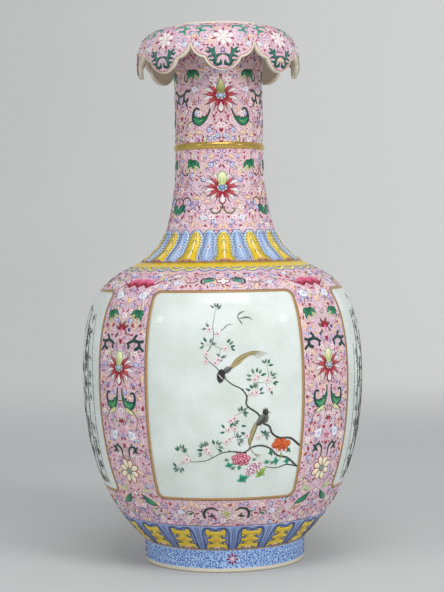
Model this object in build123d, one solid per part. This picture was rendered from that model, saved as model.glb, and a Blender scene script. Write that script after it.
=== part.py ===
from build123d import *
import math
import os

# A porcelain bottle vase with a lotus-leaf mouth: a swelling body on an upright foot ring, a tall
# neck with one raised rib, and a lobed collar that folds down from the lip like eight petals.
# It is made the way a large vase is made: thrown sections, stacked and luted together with slip,
# so each section is a node, and the sections meet face to face at level joints.
# Millimetres. +Z is up, the axis of the vase is Z, and the foot ring stands on z = 0.
# -Y is the front. One petal of the collar is centred close to it, a few degrees round towards +X.

HEIGHT = 400.0

# Walls
BODY_WALL = 5.0
COLLAR_WALL = 3.4

# Foot ring and recessed base
FOOT_RADIUS = 60.2
FOOT_HEIGHT = 16.6
FOOT_INSIDE_RADIUS = 51.0
FOOT_EDGE_ROUND = 1.4
BASE_THICKNESS = 6.0
BASE_OVERLAP = 1.5

# Heights of the joints between the thrown sections
BELLY_JOINT = 141.0
SHOULDER_JOINT = 224.2
FLARE_JOINT = 262.0
NECK_JOINT = 310.0
MOUTH_JOINT = 372.0

# Neck
NECK_RADIUS = 33.0
NECK_TOP_OF_FLARE = 302.0
NECK_BORE = 28.0
BORE_BOTTOM = 284.0

# Outside of the body from the foot to the neck, as (radius, height)
OUTLINE = [
    (FOOT_RADIUS, FOOT_HEIGHT),
    (78.6, 37.6),
    (91.6, 61.5),
    (101.4, 96.0),
    (105.2, 142.0),
    (102.0, 177.5),
    (95.2, 197.5),
    (79.4, 214.8),
    (61.5, SHOULDER_JOINT),
    (45.6, 238.4),
    (38.6, 256.0),
    (34.6, 278.0),
    (NECK_RADIUS, NECK_TOP_OF_FLARE),
]
FOOT_SLOPE = (1.0, 0.95)
FLOOR_SLOPE = (1.0, 0.35)

# Where the inside of the wall is set off from the outside, as shares of the outline's length
WALL_STATIONS = [0.06, 0.14, 0.24, 0.36, 0.46, 0.54, 0.60, 0.66, 0.72, 0.78, 0.85]

# Neck rib: a half-round ring over the joint of the two neck sections
RIB_HEIGHT = 5.2
RIB_PROUD = 1.2

# Mouth: a cup that opens from the bore to the lip
LIP_RADIUS = 38.5
LIP_WALL = 3.6
LIP_HEIGHT = 3.0
CUP_SLOPE = 0.25

# Collar: a full, squarish quarter round in section, from the lip out and down, then a small curl
COLLAR_TOP = 398.0
COLLAR_RADIUS = 61.0
COLLAR_WIDEST_HEIGHT = 370.5
COLLAR_FULLNESS = 2.4
COLLAR_TIP_RADIUS = 58.9
COLLAR_TIP_HEIGHT = 361.6
TIP_ROUND = 0.9

# Petals: the notch between two of them, as (half width, height) down one side from its apex
PETALS = 8
PETAL_TURN = 3.5
NOTCH_APEX = (0.0, 381.3)
NOTCH_SHOULDER = (3.2, 375.0)
NOTCH_KINK = (10.6, 371.0)
NOTCH_CURVE = (14.4, 365.0)

# Slip that is left as a smoothed bead on the inside of the two widest joints
BEAD_HALF_HEIGHT = 7.0
BEAD_PROUD = 2.6

UP = Vector(0, 0, 1)


def at(radius, height):
    """A point of the section."""
    return Vector(radius, 0, height)


def smooth(points, start, end):
    """A spline through points, with its direction given at both ends."""
    return Spline(*points, tangents=[start, end], tangent_scalars=[1, 1])


def lathe(*edges):
    """The solid that a closed section makes when it turns about the axis."""
    return revolve(make_face(edges), axis=Axis.Z)


def ring(inner, outer, bottom, top):
    """A plain ring, or a disc where the inner radius is zero."""
    corners = [at(inner, bottom), at(outer, bottom), at(outer, top), at(inner, top)]
    return lathe(*Polyline(*corners, close=True).edges())


def outer_curve():
    """The outside of the body and the neck flare, upright at its top end."""
    points = [at(radius, height) for radius, height in OUTLINE]
    return smooth(points, at(*FOOT_SLOPE), UP)


def inner_curve():
    """The inside of the wall, set off square to the outside, from the floor up to the bore."""
    outer = outer_curve()
    points = [at(FOOT_INSIDE_RADIUS - BASE_OVERLAP, FOOT_HEIGHT)]
    for share in WALL_STATIONS:
        tangent = (outer % share).normalized()
        points.append((outer @ share) + Vector(-tangent.Z, 0, tangent.X) * BODY_WALL)
    points.append(at(NECK_BORE, BORE_BOTTOM))
    return smooth(points, at(*FLOOR_SLOPE), UP)


def vessel():
    """The whole wall from the base to the mouth joint, before it is divided into sections."""
    outer = outer_curve()
    inner = inner_curve()
    top_outer = at(NECK_RADIUS, MOUTH_JOINT)
    top_inner = at(NECK_BORE, MOUTH_JOINT)
    return lathe(
        outer,
        Line(outer @ 1, top_outer),
        Line(top_outer, top_inner),
        Line(top_inner, inner @ 1),
        inner,
        Line(inner @ 0, outer @ 0),
    )


def section(wall, bottom, top):
    """The part of the wall between two joints."""
    slab = Cylinder(2 * COLLAR_RADIUS, top - bottom, align=(Align.CENTER, Align.CENTER, Align.MIN))
    return (wall & (Pos(0, 0, bottom) * slab)).solids()[0]


def foot_ring():
    """The upright ring that the vase stands on, with its lower edges rounded."""
    blank = ring(FOOT_INSIDE_RADIUS, FOOT_RADIUS, 0.0, FOOT_HEIGHT)
    lower_edges = blank.edges().filter_by(GeomType.CIRCLE).group_by(Axis.Z)[0]
    return fillet(lower_edges, FOOT_EDGE_ROUND)


def base_slab():
    """The recessed base, inside the top of the foot ring and under the body."""
    return ring(0.0, FOOT_INSIDE_RADIUS, FOOT_HEIGHT - BASE_THICKNESS, FOOT_HEIGHT)


def share_at_height(curve, height):
    """How far along a rising curve it reaches a height, found by halving."""
    low, high = 0.0, 1.0
    for _ in range(40):
        middle = (low + high) / 2
        if (curve @ middle).Z < height:
            low = middle
        else:
            high = middle
    return low


def luting_bead(wall, height):
    """The bead of slip on the inside of a joint, lying along the slope of the wall."""
    inner = inner_curve()
    share = share_at_height(inner, height)
    across = Plane(origin=inner @ share, x_dir=inner % share, z_dir=(0, -1, 0))
    bead = revolve(across * Ellipse(BEAD_HALF_HEIGHT, BEAD_PROUD), axis=Axis.Z)
    return (bead - wall).solids().sort_by(SortBy.VOLUME)[-1]


def neck_rib():
    """The raised rib round the neck."""
    low = at(NECK_RADIUS, NECK_JOINT - RIB_HEIGHT / 2)
    high = at(NECK_RADIUS, NECK_JOINT + RIB_HEIGHT / 2)
    crown = at(NECK_RADIUS + RIB_PROUD, NECK_JOINT)
    return lathe(ThreePointArc(low, crown, high), Line(high, low))


def mouth_cup():
    """The funnel from the bore up to the lip. The collar is luted round its top."""
    lip_inner = LIP_RADIUS - LIP_WALL
    top = HEIGHT - LIP_HEIGHT
    bore = at(NECK_BORE, MOUTH_JOINT)
    neck = at(NECK_RADIUS, MOUTH_JOINT)
    under_collar = at(LIP_RADIUS, COLLAR_TOP - COLLAR_WALL)
    outside = smooth([neck, under_collar], UP, at(CUP_SLOPE, 1))
    inside = smooth([bore, at(lip_inner, top)], UP, at(CUP_SLOPE, 1))
    return lathe(
        outside,
        Line(under_collar, at(LIP_RADIUS, top)),
        Line(at(LIP_RADIUS, top), at(lip_inner, top)),
        inside,
        Line(bore, neck),
    )


def lip_ring():
    """The rounded lip on top of the cup."""
    inner = LIP_RADIUS - LIP_WALL
    bottom = HEIGHT - LIP_HEIGHT
    spring = HEIGHT - LIP_WALL / 2
    crown = ThreePointArc(at(LIP_RADIUS, spring), at(LIP_RADIUS - LIP_WALL / 2, HEIGHT), at(inner, spring))
    sides = Polyline(at(inner, spring), at(inner, bottom), at(LIP_RADIUS, bottom), at(LIP_RADIUS, spring))
    return lathe(crown, *sides.edges())


def dome(reach, rise):
    """The collar's quarter round, from its widest point up and in to the lip."""
    points = []
    for degrees in range(0, 91, 15):
        turn = math.radians(degrees)
        along = math.cos(turn) ** (2 / COLLAR_FULLNESS) if degrees < 90 else 0.0
        up = math.sin(turn) ** (2 / COLLAR_FULLNESS)
        points.append(at(LIP_RADIUS + reach * along, COLLAR_WIDEST_HEIGHT + rise * up))
    return smooth(points, UP, at(-1, 0))


def collar_blank():
    """The collar before its lower edge is cut: an open dome with its lower edge curled in."""
    reach = COLLAR_RADIUS - LIP_RADIUS
    rise = COLLAR_TOP - COLLAR_WIDEST_HEIGHT
    outside = dome(reach, rise)
    inside = dome(reach - COLLAR_WALL, rise - COLLAR_WALL)
    outer_tip = at(COLLAR_TIP_RADIUS, COLLAR_TIP_HEIGHT)
    inner_tip = at(COLLAR_TIP_RADIUS - COLLAR_WALL, COLLAR_TIP_HEIGHT)
    tip = at(COLLAR_TIP_RADIUS - COLLAR_WALL / 2, COLLAR_TIP_HEIGHT - TIP_ROUND)
    return lathe(
        outside,
        Line(outside @ 1, inside @ 1),
        inside,
        smooth([inner_tip, inside @ 0], at(0.4, 1), UP),
        ThreePointArc(inner_tip, tip, outer_tip),
        smooth([outer_tip, outside @ 0], at(0.4, 1), UP),
    )


def notch_side(way):
    """One side of the notch: two bulging steps that meet in a kink, down to the petal's tip."""
    half_petal = COLLAR_RADIUS * math.sin(math.pi / PETALS)
    below = COLLAR_TIP_HEIGHT - 2 * TIP_ROUND
    apex, shoulder, kink, curve = (
        at(way * half_width, height)
        for half_width, height in (NOTCH_APEX, NOTCH_SHOULDER, NOTCH_KINK, NOTCH_CURVE)
    )
    tip = at(way * half_petal, COLLAR_TIP_HEIGHT)
    return [
        ThreePointArc(apex, shoulder, kink),
        ThreePointArc(kink, curve, tip),
        Line(tip, at(way * half_petal, below)),
    ]


def notch_cutter():
    """What is cut away between two petals, on the -Y side of the collar."""
    left = notch_side(-1)
    right = notch_side(1)
    sill = Line(left[-1] @ 1, right[-1] @ 1)
    return extrude(make_face([*left, sill, *right]), amount=2 * COLLAR_RADIUS, dir=(0, -1, 0))


def petal_collar():
    """The downturned collar, its lower edge cut into petals."""
    cutter = notch_cutter()
    step = 360.0 / PETALS
    cutters = [Rot(0, 0, (index + 0.5) * step + PETAL_TURN) * cutter for index in range(PETALS)]
    return collar_blank() - cutters


def main():
    os.makedirs("parts", exist_ok=True)
    wall = vessel()
    nodes = {
        "foot_ring": foot_ring(),
        "base_slab": base_slab(),
        "lower_body": section(wall, FOOT_HEIGHT, BELLY_JOINT),
        "belly_luting_bead": luting_bead(wall, BELLY_JOINT),
        "upper_body": section(wall, BELLY_JOINT, SHOULDER_JOINT),
        "shoulder_luting_bead": luting_bead(wall, SHOULDER_JOINT),
        "neck_flare": section(wall, SHOULDER_JOINT, FLARE_JOINT),
        "lower_neck": section(wall, FLARE_JOINT, NECK_JOINT),
        "neck_rib": neck_rib(),
        "upper_neck": section(wall, NECK_JOINT, MOUTH_JOINT),
        "mouth_cup": mouth_cup(),
        "lip_ring": lip_ring(),
        "petal_collar": petal_collar(),
    }
    for name, shape in nodes.items():
        export_step(shape, f"parts/{name}.step")


main()
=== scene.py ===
import math
import random

import bpy
import numpy as np
from mathutils import Matrix, Vector
from mathutils.bvhtree import BVHTree
from mathutils.kdtree import KDTree


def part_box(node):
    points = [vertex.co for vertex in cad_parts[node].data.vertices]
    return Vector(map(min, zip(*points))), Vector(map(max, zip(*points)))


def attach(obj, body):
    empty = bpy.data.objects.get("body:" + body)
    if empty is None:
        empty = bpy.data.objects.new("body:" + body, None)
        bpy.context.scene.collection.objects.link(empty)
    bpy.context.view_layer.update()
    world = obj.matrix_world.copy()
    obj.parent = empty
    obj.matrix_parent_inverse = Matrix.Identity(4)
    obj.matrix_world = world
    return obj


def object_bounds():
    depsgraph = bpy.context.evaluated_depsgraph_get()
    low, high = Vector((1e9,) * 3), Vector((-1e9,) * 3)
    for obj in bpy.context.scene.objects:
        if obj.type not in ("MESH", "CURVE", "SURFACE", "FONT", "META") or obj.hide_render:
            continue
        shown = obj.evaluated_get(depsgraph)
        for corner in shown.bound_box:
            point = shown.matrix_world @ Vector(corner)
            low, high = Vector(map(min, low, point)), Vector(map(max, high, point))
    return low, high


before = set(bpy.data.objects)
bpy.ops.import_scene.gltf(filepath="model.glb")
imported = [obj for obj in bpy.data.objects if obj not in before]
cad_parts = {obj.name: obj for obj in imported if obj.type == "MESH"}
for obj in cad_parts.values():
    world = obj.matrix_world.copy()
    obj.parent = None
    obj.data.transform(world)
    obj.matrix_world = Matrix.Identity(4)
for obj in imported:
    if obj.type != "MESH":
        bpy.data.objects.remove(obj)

# The porcelain vase's looks. The CAD sections keep their shapes and get glaze and ground enamels.
# Everything painted over them is laid here as real overglaze enamel: domed strokes, petals, leaves
# and patches a fraction of a millimetre thick, wrapped on the CAD surface, one piece for each
# enamel in each region. Sizes are millimetres, and an azimuth is in degrees from the front (-Y)
# to the right.

CAD_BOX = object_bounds()
MM = 0.001

FRONT = 1.0          # azimuth of the front panel's middle
NECK_FRONT = 3.0     # azimuth of the neck's front lotus
COLLAR_FRONT = 3.5   # azimuth of the collar's front petal
PANEL_HALF = 31.5    # half of a panel, in degrees
PANEL_LOW = 58.6     # heights of a panel's lower and upper edges
PANEL_HIGH = 204.2
BAND_LOW = 17.4      # lower lappet band
BAND_HIGH = 36.8
SHOULDER = 224.4     # gold line between the shoulder and the neck's root
LAPPET_TOP = 247.0
CUP_SEEN = 386.0     # the cup shows up to here between the petals
RIM_HIGH = 3.2       # the foot's bare rim ends here
CORNER = 5.5         # radius of a panel's corners
QUARTER = 90         # from one panel to the next, in degrees
THIRD = 120          # from one of the neck's lotuses to the next
PETAL_WIDE = 45      # one petal of the collar

SINK = 0.30          # how far the edge of a stroke goes under the glaze, so that no gap shows
LINE = 0.14          # how proud a line stands
BODY = 0.26          # how proud a petal or leaf stands
LAYER = 0.07         # added for each stroke laid over another

random.seed(7)


# ------------------------------------------------------------------ the surface to draw on

class Skin:
    """A surface of revolution, unrolled: a place is an azimuth and a distance along the outline."""

    def __init__(self, radii, heights):
        self.r = np.asarray(radii, float)
        self.z = np.asarray(heights, float)
        steps = np.hypot(np.diff(self.r), np.diff(self.z))
        self.s = np.concatenate([[0.0], np.cumsum(steps)])
        self.out_r = np.gradient(self.z, self.s)
        self.out_z = -np.gradient(self.r, self.s)

    def radius(self, along):
        return np.interp(along, self.s, self.r)

    def height(self, along):
        return np.interp(along, self.s, self.z)

    def along(self, height):
        """The distance along an outline that only rises, for a height."""
        return np.interp(height, self.z, self.s)

    def points(self, azimuth, along, proud):
        """Places and how proud they stand, as points in metres."""
        reach = self.radius(along) + proud * np.interp(along, self.s, self.out_r)
        up = self.height(along) + proud * np.interp(along, self.s, self.out_z)
        turn = np.radians(azimuth)
        return np.stack([reach * np.sin(turn), -reach * np.cos(turn), up], axis=-1) * MM


def show(thing):
    """Puts an object in the scene."""
    bpy.context.scene.collection.objects.link(thing)


def search_tree(names):
    """A tree for ray casts over some CAD nodes, in mm."""
    points, faces = [], []
    for name in names:
        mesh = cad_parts[name].data
        base = len(points)
        points += [v.co / MM for v in mesh.vertices]
        faces += [[base + i for i in p.vertices] for p in mesh.polygons]
    return BVHTree.FromPolygons(points, faces)


def trace_body():
    """The outside of the foot, body and neck, read from the CAD nodes by level rays."""
    names = ["foot_ring", "lower_body", "upper_body", "neck_flare", "lower_neck", "upper_neck", "mouth_cup"]
    tree = search_tree(names)
    outside = 2 * CAD_BOX[1].x / MM
    heights = np.arange(0.5, CUP_SEEN, 1.0)
    radii = []
    for height in heights:
        hit = tree.ray_cast(Vector((0.01, -outside, height)), Vector((0, 1, 0)))[0]
        radii.append(-hit.y)
    return Skin(radii, heights)


def trace_collar(tree):
    """The outside of the collar over a petal's middle, from its tip up to the lip."""
    centre_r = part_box("lip_ring")[1].x / MM
    low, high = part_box("petal_collar")
    centre_z = (low.z + 0.27 * (high.z - low.z)) / MM
    radii, heights = [], []
    for degrees in range(-26, 88, 2):
        a, turn = math.radians(degrees), math.radians(COLLAR_FRONT)
        level = Vector((math.sin(turn), -math.cos(turn), 0))
        away = math.cos(a) * level + Vector((0, 0, math.sin(a)))
        start = centre_r * level + Vector((0, 0, centre_z)) + 80 * away
        hit = tree.ray_cast(start, -away)[0]
        if hit is not None:
            radii.append(math.hypot(hit.x, hit.y))
            heights.append(hit.z)
    return Skin(radii, heights)


COLLAR_TREE = search_tree(["petal_collar"])
BODY_SKIN = trace_body()
COLLAR_SKIN = trace_collar(COLLAR_TREE)
COLLAR_REACH = float(COLLAR_SKIN.s[-1])


def rise(height):
    """The distance along the body's outline at a height."""
    return float(BODY_SKIN.along(height))


# ------------------------------------------------------------------ enamels

def srgb(red, green, blue):
    """A colour given as 0 to 255 screen values, as Blender's linear values."""
    linear = []
    for value in (red, green, blue):
        share = value / 255
        linear.append(share / 12.92 if share <= 0.04045 else ((share + 0.055) / 1.055) ** 2.4)
    return (*linear, 1.0)


# by record slot: each enamel's colour in screen values, and a second one if it changes along a stroke
ENAMELS = {
    "pink_enamel": {
        "crimson": [(150, 22, 52)], "ruby": [(140, 20, 32), (198, 88, 94)],
        "rose": [(206, 70, 112), (236, 160, 180)], "bat_red": [(176, 24, 64), (226, 110, 150)],
        "blossom": [(228, 170, 192), (246, 222, 230)], "petal": [(232, 206, 214), (246, 240, 238)],
        "plum": [(150, 70, 122)], "pink": [(233, 190, 204)], "peach": [(244, 206, 178)],
        "violet": [(112, 92, 168)], "lilac": [(184, 160, 206)],
        "yellow": [(228, 194, 34), (232, 202, 66)], "lime": [(206, 216, 140), (236, 238, 190)],
        "green": [(18, 96, 62), (44, 150, 104)], "bud": [(146, 152, 70), (206, 212, 150)],
        "acanthus": [(14, 84, 74), (44, 128, 108)], "teal": [(14, 118, 96), (70, 170, 140)],
        "dark_green": [(26, 62, 58)], "leaf": [(74, 110, 90), (138, 164, 142)],
        "grey_green": [(134, 156, 140)], "olive": [(120, 112, 76)],
        "fresh_green": [(116, 160, 60), (160, 190, 90)], "brown": [(96, 60, 44)], "ink": [(46, 46, 48)],
        "bark": [(74, 72, 70)], "slate": [(112, 116, 112)], "tan": [(178, 160, 112)],
        "orange": [(198, 62, 14), (228, 110, 44)], "iron_red": [(176, 84, 60)],
    },
    "white_glaze": {
        "white": [(246, 242, 240)], "bluish": [(206, 218, 240)], "rolled_cream": [(224, 216, 196)],
        "ivory": [(244, 236, 206)],
    },
    "blue_enamel": {
        "blue": [(44, 72, 160)], "sky": [(138, 168, 222)], "pale_sky": [(186, 206, 226)],
        "soft_sky": [(160, 186, 222), (148, 174, 216)], "slate_blue": [(70, 84, 132)],
    },
    "gilding": {
        "frame_gold": [(184, 146, 96)], "bright_gold": [(186, 140, 44)],
    },
}
METAL = {"frame_gold": 0.25, "bright_gold": 0.5}


class Graph:
    """A material's nodes, made in a few words."""

    def __init__(self, name):
        self.material = bpy.data.materials.new(name)
        self.material.use_nodes = True
        self.tree = self.material.node_tree
        self.shader = self.tree.nodes["Principled BSDF"]

    def node(self, kind, **settings):
        made = self.tree.nodes.new(kind)
        for key, value in settings.items():
            setattr(made, key, value)
        return made

    def feed(self, socket, value):
        """Gives a socket a link or a fixed value."""
        if isinstance(value, bpy.types.NodeSocket):
            self.tree.links.new(value, socket)
        else:
            socket.default_value = value

    def paint(self, colour):
        self.feed(self.shader.inputs["Base Color"], colour)

    def math(self, operation, first, second=0.0, third=0.0):
        made = self.node("ShaderNodeMath", operation=operation)
        for socket, value in zip(made.inputs, (first, second, third)):
            self.feed(socket, value)
        return made.outputs[0]

    def times(self, first, second):
        return self.math("MULTIPLY", first, second)

    def plus(self, first, second):
        return self.math("ADD", first, second)

    def minus(self, first, second):
        return self.math("SUBTRACT", first, second)

    def blend(self, share, first, second):
        """The first colour where the share is 0, and the second where it is 1."""
        made = self.node("ShaderNodeMix", data_type="RGBA")
        self.feed(made.inputs[0], share)
        self.feed(made.inputs[6], first)
        self.feed(made.inputs[7], second)
        return made.outputs[2]

    def ramp(self, value, low, high, start=0.0, end=1.0):
        """A smooth step from start to end as the value goes from low to high."""
        made = self.node("ShaderNodeMapRange", interpolation_type="SMOOTHSTEP")
        for socket, number in zip(made.inputs, (value, low, high, start, end)):
            self.feed(socket, number)
        return made.outputs[0]

    def place(self):
        """Object coordinates in mm."""
        coordinates = self.node("ShaderNodeTexCoord").outputs["Object"]
        made = self.node("ShaderNodeVectorMath", operation="SCALE")
        self.feed(made.inputs[0], coordinates)
        made.inputs["Scale"].default_value = 1 / MM
        return made.outputs[0]

    def noise(self, where, scale, detail=3.0):
        made = self.node("ShaderNodeTexNoise")
        self.feed(made.inputs["Vector"], where)
        made.inputs["Scale"].default_value = scale
        made.inputs["Detail"].default_value = detail
        return made.outputs["Fac"]

    def split(self, vector):
        made = self.node("ShaderNodeSeparateXYZ")
        self.feed(made.inputs[0], vector)
        return made.outputs

    def glaze(self, where, smooth=0.12, rough=0.24, wave=0.05, grain=0.0):
        """Gloss that varies a little, a gently uneven surface, and fine grain where asked."""
        self.feed(self.shader.inputs["Roughness"],
            self.ramp(self.noise(where, 0.35), 0.3, 0.7, smooth, rough))
        waves = self.noise(where, 0.12, 2.0)
        if grain:
            fine = self.math("MULTIPLY", self.noise(where, 2.4, 4.0), grain)
            waves = self.math("ADD", waves, fine)
        bump = self.node("ShaderNodeBump")
        bump.inputs["Strength"].default_value = 0.35
        bump.inputs["Distance"].default_value = wave * MM
        self.feed(bump.inputs["Height"], waves)
        self.feed(self.shader.inputs["Normal"], bump.outputs[0])


def enamel_material(name):
    """Overglaze enamel: glassy, a little uneven, and shaded along the stroke where it has two colours."""
    colour, *far = (srgb(*screen) for screen in ENAMELS[SLOTS[name]][name])
    graph = Graph("enamel_" + name)
    where = graph.place()
    if not far:
        graph.paint(colour)
    else:
        tone = graph.node("ShaderNodeAttribute", attribute_name="tone").outputs["Fac"]
        uneven = graph.math("MULTIPLY_ADD", graph.noise(where, 1.4), 0.5, -0.25)
        share = graph.ramp(graph.plus(tone, uneven), 0.1, 0.9)
        graph.paint(graph.blend(share, colour, far[0]))
    graph.shader.inputs["Metallic"].default_value = METAL.get(name, 0.0)
    graph.glaze(where, 0.22, 0.38, 0.06, grain=0.3)
    return graph.material


def white_on_the_inside(graph, where, outside):
    """The ground colour on faces that look outwards, and plain glaze on those that look inwards."""
    normal = graph.node("ShaderNodeNewGeometry").outputs["Normal"]
    x, y, _ = graph.split(where)
    level = graph.node("ShaderNodeCombineXYZ")
    graph.feed(level.inputs[0], x)
    graph.feed(level.inputs[1], y)
    facing = graph.node("ShaderNodeVectorMath", operation="DOT_PRODUCT")
    graph.feed(facing.inputs[0], normal)
    graph.feed(facing.inputs[1], level.outputs[0])
    outwards = graph.math("GREATER_THAN", facing.outputs["Value"], 0.0)
    return graph.blend(outwards, WHITE_GLAZE, outside)


def tiny_scrolls(graph, where, size, turns, line):
    """Spiral lines, one in each cell of a cell pattern: 1 on the line and 0 off it."""
    cells = graph.node("ShaderNodeTexVoronoi", feature="F1")
    graph.feed(cells.inputs["Vector"], where)
    cells.inputs["Scale"].default_value = 1 / size
    gap = graph.node("ShaderNodeVectorMath", operation="SUBTRACT")
    graph.feed(gap.inputs[0], where)
    graph.feed(gap.inputs[1], cells.outputs["Position"])
    gap_x, gap_y, gap_z = graph.split(gap.outputs[0])
    x, y, _ = graph.split(where)
    length = graph.math("SQRT", graph.plus(graph.times(x, x), graph.times(y, y)))
    cross = graph.minus(graph.times(gap_y, x), graph.times(gap_x, y))
    around = graph.math("DIVIDE", cross, length)
    angle = graph.math("DIVIDE", graph.math("ARCTAN2", gap_z, around), 2 * math.pi)
    far = graph.times(cells.outputs["Distance"], turns)
    saw = graph.math("FRACT", graph.plus(far, angle))
    near = graph.math("ABSOLUTE", graph.minus(saw, 0.5))
    return graph.ramp(near, line, line * 0.45)


WHITE_GLAZE = srgb(228, 236, 232)
CREAM = srgb(222, 214, 194)
BISCUIT = srgb(206, 192, 166)


def pink_ground():
    """Pink enamel, scratched all over with small scrolls, and mottled towards lilac and peach."""
    graph = Graph("pink_ground")
    where = graph.place()
    mottled = graph.blend(graph.ramp(graph.noise(where, 0.05), 0.35, 0.65), srgb(226, 186, 196),
        srgb(218, 184, 202))
    mottled = graph.blend(graph.ramp(graph.noise(where, 0.09, 1.0), 0.58, 0.72), mottled,
        srgb(236, 202, 186))
    for size, turns, line, strength, colour in (
        (3.6, 2.3, 0.16, 0.34, srgb(190, 104, 140)), (5.2, 2.0, 0.14, 0.55, srgb(250, 240, 242)),
        (4.4, 1.7, 0.10, 0.40, srgb(150, 138, 128)),
    ):
        lines = graph.times(tiny_scrolls(graph, where, size, turns, line), strength)
        mottled = graph.blend(lines, mottled, colour)
    graph.paint(white_on_the_inside(graph, where, mottled))
    graph.glaze(where, 0.26, 0.42, 0.08, grain=0.4)
    return graph.material


def foot_ground():
    """The foot ring: blue scrollwork over a bare cream rim, with plain glaze inside."""
    graph = Graph("foot_ground")
    where = graph.place()
    scrolls = tiny_scrolls(graph, where, 3.0, 1.6, 0.20)
    ground = graph.blend(graph.ramp(graph.noise(where, 0.3), 0.3, 0.7), srgb(182, 214, 248),
        srgb(158, 194, 240))
    ground = graph.blend(graph.times(scrolls, 0.95), ground, srgb(40, 80, 172))
    _, _, z = graph.split(where)
    above = graph.math("GREATER_THAN", z, RIM_HIGH)
    outside = graph.blend(above, CREAM, ground)
    colour = white_on_the_inside(graph, where, outside)
    bare = graph.ramp(z, 0.9, 0.5)
    colour = graph.blend(bare, colour, BISCUIT)
    graph.paint(colour)
    graph.glaze(where, 0.14, 0.28, 0.08, grain=0.4)
    return graph.material


def plain_glaze(name, colour, smooth=0.06, rough=0.16, speckle=srgb(214, 222, 216)):
    """Porcelain glaze: faintly uneven in colour and gloss."""
    graph = Graph(name)
    where = graph.place()
    cloudy = graph.blend(graph.ramp(graph.noise(where, 0.04), 0.3, 0.7), colour, speckle)
    graph.paint(cloudy)
    graph.glaze(where, smooth, rough, 0.10)
    graph.shader.inputs["Coat Weight"].default_value = 0.3
    graph.shader.inputs["Coat Roughness"].default_value = 0.04
    return graph.material


def gilding():
    """Burnished gold on the raised rib, worn to a warmer tone in places."""
    graph = Graph("burnished_gold")
    where = graph.place()
    worn = graph.ramp(graph.noise(where, 0.5, 5.0), 0.45, 0.75)
    graph.paint(graph.blend(worn, srgb(222, 190, 104), srgb(204, 164, 84)))
    graph.shader.inputs["Metallic"].default_value = 0.85
    graph.glaze(where, 0.2, 0.32, 0.03, grain=0.2)
    return graph.material


# ------------------------------------------------------------------ laying enamel on the surface

LAID = {}            # (region, enamel): lists of vertices, faces and tones

LEAF = (0.10, 0.72, 1.0, 0.86, 0.5, 0.04)
PETAL = (0.30, 0.66, 0.92, 1.0, 0.78, 0.14)
DROP = (0.12, 0.42, 0.74, 1.0, 0.86, 0.16)
HAIR = (1.0, 0.95, 0.8, 0.5, 0.08)
EVEN = (0.5, 1.0, 1.0, 1.0, 0.5)


def smooth_route(points, count):
    """Points spread evenly along a smooth curve through the given ones."""
    points = np.asarray(points, float)
    knots = np.concatenate([[0.0], np.cumsum(np.hypot(*np.diff(points, axis=0).T))])
    slopes = np.gradient(points, knots, axis=0)
    at = np.linspace(0, knots[-1], count)
    i = np.clip(np.searchsorted(knots, at, side="right") - 1, 0, len(points) - 2)
    span = (knots[i + 1] - knots[i])[:, None]
    u = (at - knots[i])[:, None] / span
    start, end = points[i], points[i + 1]
    leave, arrive = slopes[i] * span, slopes[i + 1] * span
    return (
        (2 * u**3 - 3 * u**2 + 1) * start
        + (u**3 - 2 * u**2 + u) * leave
        + (3 * u**2 - 2 * u**3) * end
        + (u**3 - u**2) * arrive
    )


def circle(radius, count=10, squash=1.0, start=0.0):
    """A closed ring of points."""
    a = np.radians(start) + np.linspace(0, 2 * math.pi, count, endpoint=False)
    return np.stack([radius * np.cos(a), radius * squash * np.sin(a)], axis=-1)


def spiral(x, y, radius, start, turns, end=0.25):
    """A hook that winds in from a start angle in degrees. Negative turns wind clockwise."""
    count = max(6, int(abs(turns) * 12))
    a = np.radians(start) + np.linspace(0, 2 * math.pi * turns, count)
    reach = radius * np.linspace(1, end, count)
    return np.stack([x + reach * np.cos(a), y + reach * np.sin(a)], axis=-1)


def keep(region, enamel, points, faces, tones):
    """Adds vertices and faces to what is already laid in one enamel in one region."""
    store = LAID.setdefault((region, enamel), {"points": [], "faces": [], "tones": [], "count": 0})
    store["points"].append(points)
    store["faces"].append(faces + store["count"])
    store["tones"].append(tones)
    store["count"] += len(points)


def grid_faces(rows, columns):
    """The four-sided faces of a grid of vertices."""
    i, j = np.meshgrid(np.arange(rows - 1), np.arange(columns - 1), indexing="ij")
    corner = (i * columns + j).ravel()
    return np.stack([corner, corner + columns, corner + columns + 1, corner + 1], axis=-1)


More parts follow.
